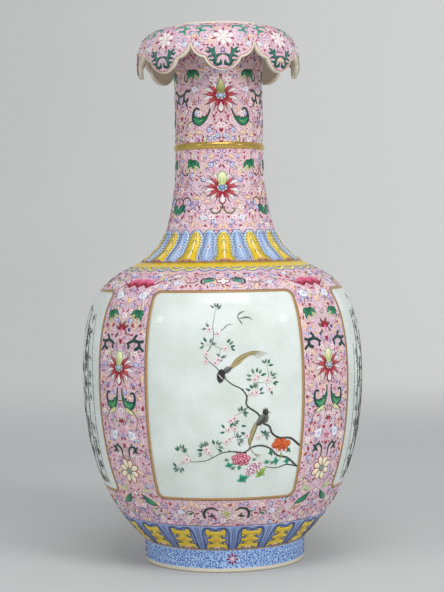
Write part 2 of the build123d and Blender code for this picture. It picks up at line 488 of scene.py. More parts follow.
class Pen:
    """Draws about an anchor on a skin. x is to the right and y is up, in mm.

    way "wrap" measures x round the skin at each height, "fan" measures it at the anchor's height so
    that uprights stay upright, "polar" takes x in degrees, and "front" takes x and the height as
    they are seen from in front.
    """

    def __init__(self, skin, region, azimuth, along=0.0, way="wrap"):
        self.skin, self.region, self.azimuth, self.way = skin, region, azimuth, way
        self.anchor = along
        self.matrix = np.identity(2)
        self.offset = np.zeros(2)
        self.size = 1.0

    def at(self, x=0.0, y=0.0, turn=0.0, size=1.0, mirror=False):
        """A pen for a motif drawn about its own origin: mirrored, then sized, turned and moved."""
        made = Pen(self.skin, self.region, self.azimuth, self.anchor, self.way)
        c, s = math.cos(math.radians(turn)), math.sin(math.radians(turn))
        flip = -1.0 if mirror else 1.0
        local = np.array([[c * flip, -s], [s * flip, c]]) * size
        made.matrix = self.matrix @ local
        made.offset = self.matrix @ np.array([x, y]) + self.offset
        made.size = self.size * size
        return made

    def sides(self):
        """This pen and its mirror image across the upright through its origin."""
        return self, self.at(mirror=True)

    def place(self, points):
        """Azimuths and distances along the skin of drawn points."""
        x, y = (np.asarray(points, float) @ self.matrix.T + self.offset).T
        if self.way == "polar":
            return self.azimuth + x, self.anchor + y
        if self.way == "front":
            along = self.skin.along(y)
            return self.azimuth + np.degrees(np.arcsin(x / self.skin.radius(along))), along
        along = self.anchor + y
        radius = self.skin.radius(self.anchor if self.way == "fan" else along)
        return self.azimuth + np.degrees(x / radius), along

    def stroke(self, enamel, route, width, proud=LINE, layer=0, closed=False, fine=True):
        """A domed stroke along a route. width is a number, or shares of a width: (width, shares)."""
        route = np.asarray(route, float)
        if closed:
            route = np.vstack([route, route[:1]])
        length = float(np.hypot(*np.diff(route, axis=0).T).sum()) * self.size
        count = int(min(max(length / 1.1, len(route) - 1, 3), 420)) + 1
        azimuth, along = self.place(smooth_route(route, count))
        radius = self.skin.radius(along)
        step = np.stack([np.radians(np.gradient(azimuth)) * radius, np.gradient(along)])
        step /= np.maximum(np.hypot(*step), 1e-9)
        if isinstance(width, tuple):
            shares = np.interp(np.linspace(0, 1, count), np.linspace(0, 1, len(width[1])), width[1])
            half = width[0] * shares / 2
        else:
            half = np.full(count, width / 2)
            if not closed:
                half[[0, -1]] *= 0.35
        half = half * self.size
        shoulder = half * np.clip(1 - 0.16 / np.maximum(half, 0.05), 0.5, 0.96)
        if fine:
            offset = np.stack([-half, -shoulder, shoulder, half], -1)
            lift = np.array((0, 1, 1, 0))
        else:
            offset = np.stack([-half, -shoulder, 0 * half, shoulder, half], -1)
            lift = np.array((0, 0.72, 1, 0.72, 0))
        az = azimuth[:, None] + np.degrees(-step[1][:, None] * offset / radius[:, None])
        al = along[:, None] + step[0][:, None] * offset
        thin = np.clip(half / 0.25, 0.35, 1.0)[:, None]
        up = np.where(lift > 0, lift * proud * thin + layer * LAYER, -SINK)
        tone = np.repeat(np.linspace(0, 1, count)[:, None], len(lift), axis=1)
        points = self.skin.points(az, al, up).reshape(-1, 3)
        keep(self.region, enamel, points, grid_faces(count, len(lift)), tone.ravel())

    def blade(self, enamel, start, end, width, shape=LEAF, bend=0.0, proud=BODY, layer=0):
        """A petal or leaf from its foot to its tip, bowed sideways by a share of its length."""
        start, end = np.asarray(start, float), np.asarray(end, float)
        run = end - start
        middle = (start + end) / 2 + bend * np.array([-run[1], run[0]])
        self.stroke(enamel, [start, middle, end], (width, shape), proud, layer, fine=False)

    def patch(self, enamel, outline, proud=BODY, layer=0):
        """A domed patch inside a closed outline that its middle can see all of."""
        azimuth, along = self.place(outline)
        radius = float(self.skin.radius(along.mean()))
        if np.sum(azimuth * np.roll(along, -1) - np.roll(azimuth, -1) * along) < 0:
            azimuth, along = azimuth[::-1], along[::-1]
        middle_az, middle_al = azimuth.mean(), along.mean()
        spread = np.hypot(np.radians(azimuth - middle_az) * radius, along - middle_al).mean()
        rim = max(0.5, 1 - 0.22 / max(spread, 0.3))
        rings = ((1.0, None), (rim, 0.75), (0.5 * rim, 0.96))
        az, al, up, tone = [], [], [], []
        for share, lift in rings:
            az.append(middle_az + share * (azimuth - middle_az))
            al.append(middle_al + share * (along - middle_al))
            height = -SINK if lift is None else lift * proud + layer * LAYER
            up.append(np.full(len(azimuth), height))
            tone.append(np.full(len(azimuth), share))
        az.append([middle_az])
        al.append([middle_al])
        up.append([proud + layer * LAYER])
        tone.append([0.0])
        points = self.skin.points(*(np.concatenate(part) for part in (az, al, up)))
        n = len(azimuth)
        i = np.arange(n)
        after = (i + 1) % n
        inner = [np.stack([k + i, k + after, k + n + after, k + n + i], -1) for k in (0, n)]
        top = np.stack([2 * n + i, 2 * n + after, np.full(n, 3 * n), np.full(n, 3 * n)], -1)
        keep(self.region, enamel, points, np.concatenate([*inner, top]), np.concatenate(tone))

    def dot(self, enamel, x, y, radius, proud=0.2, layer=0, squash=1.0):
        """A small round bead."""
        self.patch(enamel, circle(radius, 8, squash) + (x, y), proud, layer)


def ring_line(region, enamel, skin, along, width, proud=LINE):
    """A line all the way round."""
    azimuth = np.linspace(0, 360, 181)
    across = np.array((-1, -0.6, 0.6, 1)) * width / 2
    up = np.array((-SINK, proud, proud, -SINK))
    az = np.repeat(azimuth[:, None], 4, axis=1)
    al = np.broadcast_to(along + across, az.shape)
    points = skin.points(az, al, np.broadcast_to(up, az.shape)).reshape(-1, 3)
    keep(region, enamel, points, grid_faces(181, 4), np.zeros(len(points)))


def sheet(region, enamel, skin, azimuths, alongs, proud=0.07):
    """A thin even coat over a grid of places, its edge turned down under the glaze.

    azimuths is a grid, and alongs is a grid or a column for all its rows.
    """
    azimuths = np.asarray(azimuths, float)
    alongs = np.broadcast_to(alongs, azimuths.shape).copy()
    up = np.full(azimuths.shape, proud)
    az = np.pad(azimuths, 1, mode="edge")
    al = np.pad(alongs, 1, mode="edge")
    up = np.pad(up, 1, constant_values=-SINK)
    points = skin.points(az, al, up).reshape(-1, 3)
    faces = grid_faces(*az.shape)[:, ::-1]
    keep(region, enamel, points, faces, np.zeros(len(points)))


def rolled_edge(region, enamel, skin, azimuth, along, radius, depth):
    """A round bead along an edge of a wall, centred some depth inside its outer surface."""
    level = skin.radius(np.maximum(along, 0))
    step = np.stack([np.radians(np.gradient(azimuth)) * level, np.gradient(along)])
    step /= np.maximum(np.hypot(*step), 1e-9)
    turn = np.radians(np.linspace(-180, 180, 15))
    aside, up = radius * np.sin(turn), radius * np.cos(turn) - depth
    az = azimuth[:, None] + np.degrees(-step[1][:, None] * aside / level[:, None])
    al = along[:, None] + step[0][:, None] * aside
    up = np.broadcast_to(up, al.shape)
    foot, near = skin.points(az, np.zeros(al.shape), up), skin.points(az, np.ones(al.shape), up)
    below = np.maximum(-al, 0)[..., None]
    points = (skin.points(az, np.maximum(al, 0), up) + below * (foot - near)).reshape(-1, 3)
    keep(region, enamel, points, grid_faces(len(azimuth), len(turn)), np.zeros(len(points)))


def finish_pieces():
    """Makes one mesh piece of everything laid in each enamel in each region."""
    materials = {}
    for (region, enamel), store in LAID.items():
        mesh = bpy.data.meshes.new(f"{region}_{enamel}")
        points = np.concatenate(store["points"])
        faces = [tuple(dict.fromkeys(f)) for f in np.concatenate(store["faces"]).tolist()]
        mesh.from_pydata(points.tolist(), [], faces)
        attribute = mesh.attributes.new("tone", "FLOAT", "POINT")
        attribute.data.foreach_set("value", np.concatenate(store["tones"]).astype(np.float32))
        mesh.polygons.foreach_set("use_smooth", np.ones(len(mesh.polygons), bool))
        piece = bpy.data.objects.new(mesh.name, mesh)
        show(piece)
        if enamel not in materials:
            materials[enamel] = SPECIAL[enamel]() if enamel in SPECIAL else enamel_material(enamel)
        mesh.materials.append(materials[enamel])
        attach(piece, "root")


SPECIAL = {
    "panel_glaze": lambda: plain_glaze("panel_glaze", WHITE_GLAZE, 0.24, 0.32),
    "collar_pink": pink_ground,
    "band_blue": lambda: plain_glaze("band_blue", srgb(148, 172, 218), 0.14, 0.28, srgb(128, 154, 206)),
}
SLOTS = {name: slot for slot, enamels in ENAMELS.items() for name in enamels}
SLOTS |= {"panel_glaze": "white_glaze", "collar_pink": "pink_enamel", "band_blue": "blue_enamel"}


# ------------------------------------------------------------------ motifs, each about its own origin

def spoke(angle, reach):
    """The point at a distance from the origin, at an angle in degrees from +x."""
    return reach * math.cos(math.radians(angle)), reach * math.sin(math.radians(angle))


def ray(angle, near, far):
    """Two points on one line out from the origin."""
    return spoke(angle, near), spoke(angle, far)


def edged_blade(pen, enamel, edge, start, end, width, shape=PETAL, bend=0, rim=0.55, layer=0):
    """A petal or leaf with a darker outline."""
    start, end = np.asarray(start, float), np.asarray(end, float)
    beyond = (end - start) * rim / max(np.hypot(*(end - start)), 0.1)
    pen.blade(edge, start - 0.6 * beyond, end + beyond, width + rim, shape, bend, layer=layer)
    pen.blade(enamel, start, end, width - 0.2 * rim, shape, bend, layer=layer + 1)


def floret(pen, radius, petal, edge=None, heart=None, count=5, turn=90, plump=1):
    """An open flower with its own number of petals."""
    wide = plump * 2.6 * radius / count
    for k in range(count):
        near, far = ray(turn + 360 * k / count, 0.12 * radius, radius)
        if edge:
            edged_blade(pen, petal, edge, near, far, wide, DROP, rim=0.5)
        else:
            pen.blade(petal, near, far, wide, DROP)
    if heart:
        pen.dot(heart, 0, 0, 0.24 * radius, layer=2)


def lotus(pen, heart="bluish", eye="slate_blue", crested=True):
    """The big flower: a pale bud over red petals, a ring of faint ones, and a white drop below."""
    for side in pen.sides():
        for angle, reach, wide in ((58, 11.2, 2.2), (21, 13.2, 2.4), (-14, 13.4, 2.5), (-48, 12.6, 2.3)):
            edged_blade(side, "petal", "grey_green", *ray(angle, 5, reach), wide, PETAL, 0.1, 0.5)
            side.stroke("olive", ray(angle - 15, 8.4, reach + 1), (0.6, HAIR), layer=3)
            side.stroke("lilac", ray(angle + 12, 7.4, reach), (0.6, HAIR), layer=2)
        for angle, reach, wide in ((38, 10, 3), (4, 10.8, 3.4), (-32, 10.6, 3.5), (-64, 8.8, 3.3)):
            edged_blade(side, "ruby", "crimson", *ray(angle, 1.8, reach), wide,
                (0.4, 0.7, 0.95, 1, 0.66, 0.08), 0.05, 0.5, layer=3)
            side.stroke("brown", ray(angle, reach - 0.6, reach + 3), (0.7, HAIR), layer=4)
            side.blade("ivory", *ray(angle + 17, 4.6, 8.6), 0.9, LEAF, layer=3)
    if crested:
        for x in (-3.4, -1.7, 0, 1.7, 3.4):
            pen.blade("ivory", (0.5 * x, 6), (1.15 * x, 13.2 - 0.5 * abs(x)), 1.7, LEAF, 0.03 * x, layer=4)
        edged_blade(pen, "lime", "leaf", (0, 1.4), (0, 11.2), 7.4, (0.4, 0.75, 0.95, 1, 0.86, 0.4), rim=0.7,
            layer=5)
    else:
        edged_blade(pen, "bud", "olive", (0, 1.4), (0, 12.4), 6.2, (0.6, 0.95, 1, 0.78, 0.46, 0.2), rim=0.7,
            layer=5)
    for x in (-1.4, 1.4):
        pen.stroke("leaf", [(0.6 * x, 3.4), (x, 6), (0.7 * x, 9)], (0.5, HAIR), layer=8)
    skirt = [
        (0, -1.6), (2.8, -3.2), (3.4, -6), (1.8, -7.8), (0, -9.2), (-1.8, -7.8), (-3.4, -6), (-2.8, -3.2),
    ]
    pen.patch("crimson", skirt, layer=4)
    edged_blade(pen, "petal", "crimson", (0, -4.8), (0, -11.8), 4.6, DROP, rim=0.9, layer=6)
    for k in range(14):
        x, y = spoke(360 * k / 14, 3.1)
        pen.dot("bluish" if k % 2 else "grey_green", x, 0.8 * y, 0.85, layer=6)
    pen.patch("slate", circle(2.8, 12, 0.78), layer=7)
    pen.patch(heart, circle(2.3, 12, 0.76), layer=8)
    for k in range(6):
        x, y = spoke(60 * k + 30, 1.4)
        pen.dot(eye, x, 0.76 * y, 0.6, layer=9)
    pen.dot(eye, 0, 0, 0.7, layer=9)


def bat(pen):
    """A stylised bat, for luck: a scalloped crimson lower edge that feathers upwards into pink."""
    xs = (0, 1.4, 4.4, 7.2, 8.8, 11, 13)
    lows = (-3.6, -3, -0.6, -2.6, -3.8, -2.2, -0.4)
    highs = (5, 5.2, 5.6, 5, 4.2, 2.8, 0.6)
    for side in pen.sides():
        for k in range(18):
            x = 0.3 + 0.7 * k
            low = float(np.interp(x, xs, lows))
            high = float(np.interp(x, xs, highs)) + random.uniform(-0.5, 0.5)
            side.blade("bat_red", (x, low), (x + 0.4, high), 1.7, (0.8, 1, 0.9, 0.6, 0.2), 0.04,
                layer=k % 2)
        for x, y in ((0.5, -3), (2.4, -1.4), (5.6, -1), (7.8, -2.6), (9, -3.2), (11.2, -1.4)):
            side.patch("crimson", circle(1.45, 9, 0.9) + (x, y + 0.9), 0.3, layer=3)
        side.stroke("crimson", [(12.2, -0.8), (14.4, -0.2), (17, 1.8), (20.4, 2.6)],
            (1.5, (1, 0.7, 0.5, 0.2)), 0.2, layer=2)
        side.stroke("brown", [(11.4, 1.8), (12.6, 4.2), (15, 5.2)], (0.6, HAIR), layer=2)


def bluish_floret(pen):
    """A round head of white petals with blue curls at its rim."""
    for k in range(7):
        x, y = spoke(360 * k / 7 + 90, 2.8)
        pen.patch("sky" if k % 2 else "bluish", circle(1.4, 8) + (x, 0.72 * y), 0.2)
        pen.patch("white", circle(1.15, 8) + (0.86 * x, 0.62 * y), 0.22, layer=1)
        if k % 2:
            pen.stroke("slate_blue", spiral(1.35 * x, 0.95 * y, 1, 60 * k, 0.7, 0.6), (0.6, HAIR), layer=2)
    pen.patch("bluish", circle(1.6, 9, 0.75), 0.25, layer=2)
    pen.stroke("violet", spiral(0, 0, 1, 90, 1.1), (0.4, HAIR), layer=4)


def cap_leaf(pen):
    """A dark green leaf cap, with pale fingers that sweep in from under it. Outwards is +x."""
    for route in (
        [(-0.2, -3.6), (-5.6, -3.4), (-11, -5), (-13.6, -7.4)], [(-3, -4.4), (-5.4, -6), (-5.6, -8.8)],
        [(0.8, -5), (1.2, -8.4), (0.2, -10.8)],
    ):
        pen.stroke("leaf", route, (2.2, (0.8, 1, 0.7, 0.4, 0.2)), 0.16)
        pen.stroke("lime", route, (1.6, (0.8, 1, 0.7, 0.4, 0.2)), 0.22, layer=1)
    for end, wide, bend in (
        ((-8, -3.2), 3, -0.14), ((-3.2, -5.2), 4, 0), ((2.6, -6.6), 3.6, 0), ((3.8, -2.6), 2.8, 0.1),
    ):
        edged_blade(pen, "green", "dark_green", (0, 0.4), end, wide, LEAF, bend, 0.6, layer=2)


def hook_leaf(pen):
    """A fat leaf at the turn of a hooked stalk, nicked along its inner edge."""
    hook = [(0.2, 6), (0.2, 2.6), (1.8, -2), (5.4, -4.8), (9, -3.4), (10.4, 0.2), (9, 3.2), (6.8, 2.6)]
    pen.stroke("dark_green", hook, (5.6, (0.2, 0.22, 0.55, 1, 0.85, 0.36, 0.3, 0.24)), 0.22, fine=False)
    pen.stroke("green", hook[1:5], (4.6, (0.1, 0.5, 1, 0.2)), 0.28, layer=1, fine=False)
    for x, y in ((3.2, -0.6), (5, -2.2), (7, -2.6)):
        pen.dot("dark_green", x, y, 0.9, layer=2)
        pen.dot("green", x - 0.3, y - 0.5, 0.7, layer=3)
    pen.stroke("lime", [(2.4, -2.4), (4.6, -4.6), (7.2, -4.8)], (0.5, HAIR), layer=4)


def hooked_curl(pen):
    """A dark curl that rises from its foot and bends over outwards to a leafy knob. Outwards is +x."""
    pen.stroke("dark_green", [(0, 0), (-0.4, 4), (0.6, 7.6), (3.8, 9.4), (6.8, 7.8), (6.4, 4.8)],
        (1.7, (0.5, 0.8, 1, 1.1, 1.1, 0.8)), 0.22)
    for end, wide in (((9, 9.4), 1.8), ((8.4, 4.4), 1.9), ((3.6, 4.2), 1.8), ((3.2, 11.6), 1.5)):
        start = (5.8, 6.8) if end[0] > 3.5 else (3.4, 9)
        pen.stroke("dark_green", [start, end], (wide, (0.9, 1, 0.7)), 0.22)
    pen.dot("dark_green", 6.2, 6.4, 1.7, layer=1)
    pen.stroke("teal", [(0.4, 6.4), (3.6, 8.8), (6, 7.4)], (0.5, HAIR), layer=3)


def stem(pen, route, width=0.75, enamel="brown"):
    """A thin stem."""
    pen.stroke(enamel, route, (width, (1, 0.9, 0.8, 0.7, 0.5)), 0.18)


def sprig(pen, enamel="dark_green"):
    """A dark sprig like branching coral, with a curled foot. Outwards is +x."""
    for route, wide in (
        ([(-7.8, -0.8), (-4.6, 0.6), (-1.4, 1.8), (3, 0.8), (6.8, 1)], 2.1),
        ([(0.8, 5.6), (-0.6, 3.8), (-1.4, 1.6)], 1.8), ([(-6.2, 0), (-5.8, -3.6)], 1.5),
        ([(3, 0.8), (4, -1.4), (2.8, -3.6), (0.2, -4.6)], 2.2), ([(4, -2.4), (6.2, -4.2), (8, -6)], 1.7),
    ):
        pen.stroke(enamel, route, (1.25 * wide, (0.55, 0.95, 1, 1, 0.75)), 0.22)
    for x, y in ((6.6, 1.4), (0.6, -4.2), (0.7, 5.2), (-5.9, -3.2)):
        pen.dot(enamel, x, y, 1.3, layer=1)
    pen.stroke("teal", [(-5, 0.6), (-1.4, 2), (2.8, 1)], (0.5, HAIR), layer=2)


def cream_flower(pen):
    """The eight-petalled cream flower with a dark red outline."""
    for k in range(8):
        edged_blade(pen, "ivory", "crimson", *ray(22.5 + 45 * k, 1.6, 8 - 0.7 * (k % 2)), 3.9,
            (0.2, 0.5, 0.86, 1, 0.86, 0.1), rim=0.6)
        pen.stroke("tan", ray(22.5 + 45 * k, 2.6, 5), (0.4, HAIR), layer=3)
    pen.patch("slate", circle(2.3, 10), layer=3)
    pen.patch("grey_green", circle(1.9, 10), layer=4)
    for k in range(5):
        x, y = spoke(72 * k, 0.95)
        pen.dot("dark_green", x, y, 0.32, layer=5)


def red_flower(pen):
    """A red flower, crimson above and pale below, over olive leaves."""
    for angle, reach in ((20, 5.6), (62, 5.4), (118, 5.4), (160, 5.6), (215, 5.8), (325, 5.8)):
        edged_blade(pen, "olive", "brown", *ray(angle, 1.6, reach), 1.7, LEAF, 0.1, 0.4)
    for x in (-1.4, 1.4):
        pen.blade("pink", (0.6 * x, 0.2), (1.4 * x, -3.2), 2.8, DROP, layer=2)
    for angle in (20, 65, 115, 160):
        pen.blade("crimson", *ray(angle, -0.4, 3.5), 2.9, DROP, layer=3)
    pen.blade("rose", (0, 1.4), (0, -2.6), 2.4, PETAL, layer=4)
    pen.dot("slate_blue", 5.8, -0.2, 1.3)
    pen.dot("slate_blue", -4.6, -4, 1.1)


def heart(pen):
    """A small red heart-shaped petal pair."""
    for x in (-1.2, 1.2):
        pen.blade("crimson", (0.2 * x, -1.9), (1.4 * x, 1.7), 2.3, DROP, 0.1 * x)
        pen.dot("rose", 1.1 * x, 0.5, 0.6, layer=2)


def peach_fruit(pen):
    """A small peach with two leaves, seen in the gaps."""
    pen.patch("peach", circle(1.9, 10, 1.05))
    pen.blade("yellow", (-0.5, -1.2), (0.5, 1.4), 1.3, LEAF, layer=2)
    for angle in (60, 120, 240, 300):
        pen.blade("tan", *ray(angle, 1.6, 3.4), 0.7, LEAF, 0.15)


def acanthus(pen):
    """One of a collar petal's pair of acanthus branches. Outwards is +x, and it stands on its foot."""
    trunk = [(1.8, 5.2), (3.8, 4.2), (6, 5.8), (5.2, 8.8), (6.4, 12), (8.8, 14.8)]
    twigs = (
        ([(5.2, 9.2), (3, 11.4), (0.2, 12)], 1.3), ([(6.4, 12), (6.8, 15), (5.8, 16.8)], 1.5),
        ([(8.4, 14.4), (10.8, 13.4), (12.2, 14.6)], 1.3), ([(5.6, 10.4), (8.4, 10.8), (11, 9.6)], 1.2),
        ([(5.6, 7.8), (8.2, 7.4), (10, 8.2)], 1.1), ([(3, 4.6), (1.2, 6.4), (2, 7.8)], 1.1),
        ([(7.4, 13.4), (9.6, 16), (11.4, 17)], 1.2),
    )
    for grow, enamel, layer in ((0.8, "dark_green", 0), (0, "acanthus", 1)):
        for route, wide in twigs:
            pen.stroke(enamel, route, (wide + grow, (1, 1, 0.9, 0.6)), 0.22, layer)
        pen.stroke(enamel, trunk, (2 + grow, (0.7, 0.9, 1, 0.9, 1, 0.8)), 0.24, layer)
        pen.dot(enamel, 1.8, 5.2, 1.2 + grow / 2, layer=layer)
        pen.dot(enamel, 8.6, 14.6, 1.3 + grow / 2, layer=layer)
    pen.stroke("grey_green", [(4.6, 5), (4.8, 8.4), (5.8, 11.4), (7.8, 13.6)], (0.5, HAIR), layer=4)


def quatrefoil(pen):
    """A white four-lobed flower with a red outline."""
    for x, y in ((2.6, 0), (-2.6, 0), (0, 1.9), (0, -1.9)):
        pen.patch("crimson", circle(2.1, 10, 0.85) + (x, y), 0.2)
    for x, y in ((2.5, 0), (-2.5, 0), (0, 1.8), (0, -1.8)):
        pen.patch("white", circle(1.55, 10, 0.82) + (x, y), 0.24, layer=1)
    pen.patch("white", circle(2.2, 10, 0.7), 0.24, layer=2)
    pen.dot("rose", 0, 0, 0.6, layer=3)


def white_blossom(pen):
    """The collar's white blossom: uneven lobes, with crimson darts about them."""
    for k in range(7):
        edged_blade(pen, "white", "pink", *ray(360 * k / 7 + 12, 0.8, (6.8, 5.4, 6.2)[k % 3]), 4.2, DROP,
            rim=0.5, layer=k % 2)
        pen.stroke("lilac", ray(360 * k / 7 + 16, 2, 4.6), (0.4, HAIR), layer=4)
    for k in range(7):
        pen.blade("crimson", *ray(360 * k / 7 + 38, 4.8, 7.6 + 0.8 * (k % 2)), 1.3, LEAF, layer=5)
        pen.stroke("rose", ray(360 * k / 7 + 30, 2.6, 5.2), (0.5, HAIR), layer=5)
    pen.patch("ivory", circle(1.4, 9), layer=4)
    pen.dot("slate", 0.2, 0, 0.6, layer=5)


# ------------------------------------------------------------------ small filling motifs

def crimson_comma(pen):
    pen.blade("crimson", (-1.2, -0.7), (1.3, 0.8), 1.5, DROP, 0.2)


def crimson_pair(pen):
    pen.blade("crimson", (-1.6, 0.2), (0.6, 1.5), 1.25, DROP, 0.15)
    pen.blade("crimson", (-1, -1.3), (1.5, -0.7), 1.2, DROP, -0.15)


def ruby_bud(pen):
    pen.blade("ruby", (-1.3, -0.3), (1.4, 0.4), 1.9, PETAL)
    pen.stroke("crimson", [(-1.6, -0.6), (-0.2, -1.1), (1.6, -0.2)], (0.7, HAIR), layer=1)


def rose_hook(pen):
    pen.stroke("rose", spiral(0, 0, 1.6, 20, 0.9, 0.4), (0.85, HAIR))
    pen.dot("crimson", 1.9, 0.6, 0.6)


def violet_curl(pen):
    pen.stroke("violet", spiral(0, 0, 1.7, 0, 1.15, 0.35), (0.8, HAIR))


def violet_floret(pen):
    pen.dot("bluish", 0, 0, 1.5)
    pen.stroke("violet", spiral(0, 0, 1.7, 40, 0.85, 0.8), (0.75, HAIR), layer=1)
    pen.dot("violet", 0.2, 0, 0.6, layer=1)


def lilac_bud(pen):
    pen.blade("lilac", (-1.7, -0.5), (1.6, 0.5), 1.9, PETAL)
    pen.stroke("slate_blue", [(-1.9, -0.9), (0.1, -1.3), (1.9, 0.1)], (0.65, HAIR), layer=1)


def white_floret(pen):
    for k in range(5):
        pen.dot("white", 1.35 * math.cos(1.257 * k), 1.35 * math.sin(1.257 * k), 0.85)
    pen.dot("rose", 0, 0, 0.6, layer=1)


def white_curl(pen):
    pen.stroke("white", spiral(0, 0, 2.3, 60, 1.1, 0.3), (0.65, HAIR))
    pen.stroke("white", [(2, -0.8), (3.4, -0.2), (3.9, 1.4)], (0.6, HAIR))


def pink_curl(pen):
    pen.stroke("rose", spiral(0, 0, 2.1, -30, 0.9, 0.45), (0.55, HAIR))
    pen.stroke("rose", [(2, 0.6), (3.5, 0.9), (4.2, 2.4)], (0.55, HAIR))


def olive_curl(pen):
    pen.stroke("olive", spiral(0, 0, 1.8, 10, 1, 0.35), (0.6, HAIR))
    pen.stroke("olive", [(1.8, -0.3), (3.1, -1.5), (4.4, -1.3)], (0.6, HAIR))


def peach_petal(pen):
    pen.blade("peach", (-2.2, -0.7), (2.2, 0.7), 2.8, PETAL)
    pen.stroke("tan", [(-1.9, -1.3), (0.3, -1.3), (2.5, 0.2)], (0.55, HAIR), layer=1)
    pen.stroke("tan", [(-1.2, 0.8), (0.3, 1.3), (1.8, 1)], (0.5, HAIR), layer=1)


def yellow_petal(pen):
    pen.blade("yellow", (-1.2, -0.4), (1.2, 0.5), 1.4, PETAL)


def lime_leaf(pen):
    pen.blade("lime", (-1.7, -0.6), (1.7, 0.6), 1.6, LEAF, 0.15)
    pen.stroke("leaf", [(-2, -0.9), (0, -1.2), (2, 0.2)], (0.6, HAIR), layer=1)


def dark_hook(pen):
    pen.stroke("dark_green", spiral(0, 0, 1.5, 200, 0.8, 0.5), (0.85, HAIR))


FILLERS = (
    (crimson_comma, 18), (crimson_pair, 12), (ruby_bud, 6), (rose_hook, 6), (violet_curl, 13),
    (violet_floret, 9), (lilac_bud, 7), (white_floret, 7), (white_curl, 12), (pink_curl, 5),
    (olive_curl, 9), (peach_petal, 7), (yellow_petal, 2), (lime_leaf, 5), (dark_hook, 4),
)


def taken_tree():
    """A tree of everything laid so far, so that the filling keeps clear of it."""
    points = np.concatenate([np.concatenate(store["points"]) for store in LAID.values()]) / MM
    tree = KDTree(len(points))
    for i, point in enumerate(points):
        tree.insert(point, i)
    tree.balance()
    return tree


def fill(skin, region, azimuths, heights, tree, step=3.8, clearance=1.2, mirror_at=None, inside=None):
    """Scatters filling motifs over part of a skin, on a jittered grid, clear of what is laid.

    With mirror_at, a motif left of that azimuth is drawn again to its right. inside says whether an
    azimuth and a distance along the skin may be used.
    """
    kinds = [kind for kind, _ in FILLERS]
    weights = [weight for _, weight in FILLERS]
    low, high = heights
    along = low
    row = 0
    while along < high:
        radius = float(skin.radius(along))
        across = math.degrees(step / radius)
        azimuth = azimuths[0] + across * (0.5 if row % 2 else 0)
        while azimuth < azimuths[1]:
            a = azimuth + random.uniform(-0.28, 0.28) * across
            s = along + random.uniform(-0.28, 0.28) * step
            kind = random.choices(kinds, weights)[0]
            turn, size = random.uniform(0, 360), random.uniform(0.8, 1.2)
            azimuth += across
            if inside is not None and not inside(a, s):
                continue
            spots = [(a, False)]
            if mirror_at is not None:
                spots.append((2 * mirror_at - a, True))
            for spot, flipped in spots:
                point = skin.points(np.array([spot]), np.array([s]), 0)[0] / MM
                if tree.find(point)[2] < clearance:
                    continue
                way = -turn if flipped else turn
                kind(Pen(skin, region, spot, s).at(turn=way, size=size, mirror=flipped))
        along += step * 0.9
        row += 1


# ------------------------------------------------------------------ the pictures in the panels

def small_leaf(pen, x, y, angle, length=3.2, enamel="leaf"):
    """A leaf about (x, y), with its darker rim and a pale vein."""
    dx, dy = spoke(angle, length / 2)
    pen.blade("dark_green", (x - dx, y - dy), (x + dx, y + dy), 0.50 * length + 0.2, LEAF, 0.05)
    pen.blade(enamel, (x - dx, y - dy), (x + 0.93 * dx, y + 0.93 * dy), 0.46 * length, LEAF, 0.05, layer=1)
    pen.stroke("grey_green", [(x - 0.7 * dx, y - 0.7 * dy), (x + 0.5 * dx, y + 0.5 * dy)], (0.35, HAIR),
        layer=3)


def small_blossom(pen, x, y, size=1, turn=90):
    """A five-petalled pale blossom with rosy edges and a crimson heart."""
    made = pen.at(x, y, size=size)
    for k in range(5):
        (px, py), (qx, qy) = ray(turn + 72 * k, 1.2, 1.7)
        made.patch("rose", circle(0.8, 7) + (qx, qy), 0.16)
        made.patch("petal", circle(1.05, 7) + (px, py), 0.2, layer=1 + k % 2)
    made.dot("crimson", 0, 0, 0.6, layer=4)
    for k in range(4):
        made.dot("rose", *spoke(turn + 20 + 90 * k, 0.95), 0.34, layer=4)


def open_flower(pen, petal, edge, eye, size, count=7, squash=0.72):
    """A full, open flower seen a little from the side, in three rings of broad petals."""
    for ring, (near, far) in enumerate(((2.2, 6.4), (1.2, 4.7), (0.2, 2.9))):
        wide = 4.7 * far / (count - ring)
        for k in range(count - ring):
            angle = 360 * (k + 0.5 * ring) / (count - ring) + 8
            (x0, y0), (x1, y1) = ray(angle, near * size, far * size)
            edged_blade(pen, petal, edge, (x0, y0 * squash), (x1, y1 * squash), wide * size, DROP, rim=0.55,
                layer=2 * ring)
    pen.dot(eye, 0, 0, 0.8 * size, layer=7)


def lobed_leaf(pen, x, y, size, turn, enamel):
    """A leaf with four pointed lobes."""
    made = pen.at(x, y, turn=turn, size=size)
    for k, reach in enumerate((1, 0.8, 0.95, 0.7)):
        made.blade(enamel, *ray(90 * k + 8 * (k % 2), -0.25, reach), 0.72, LEAF, 0.06, layer=k % 2)


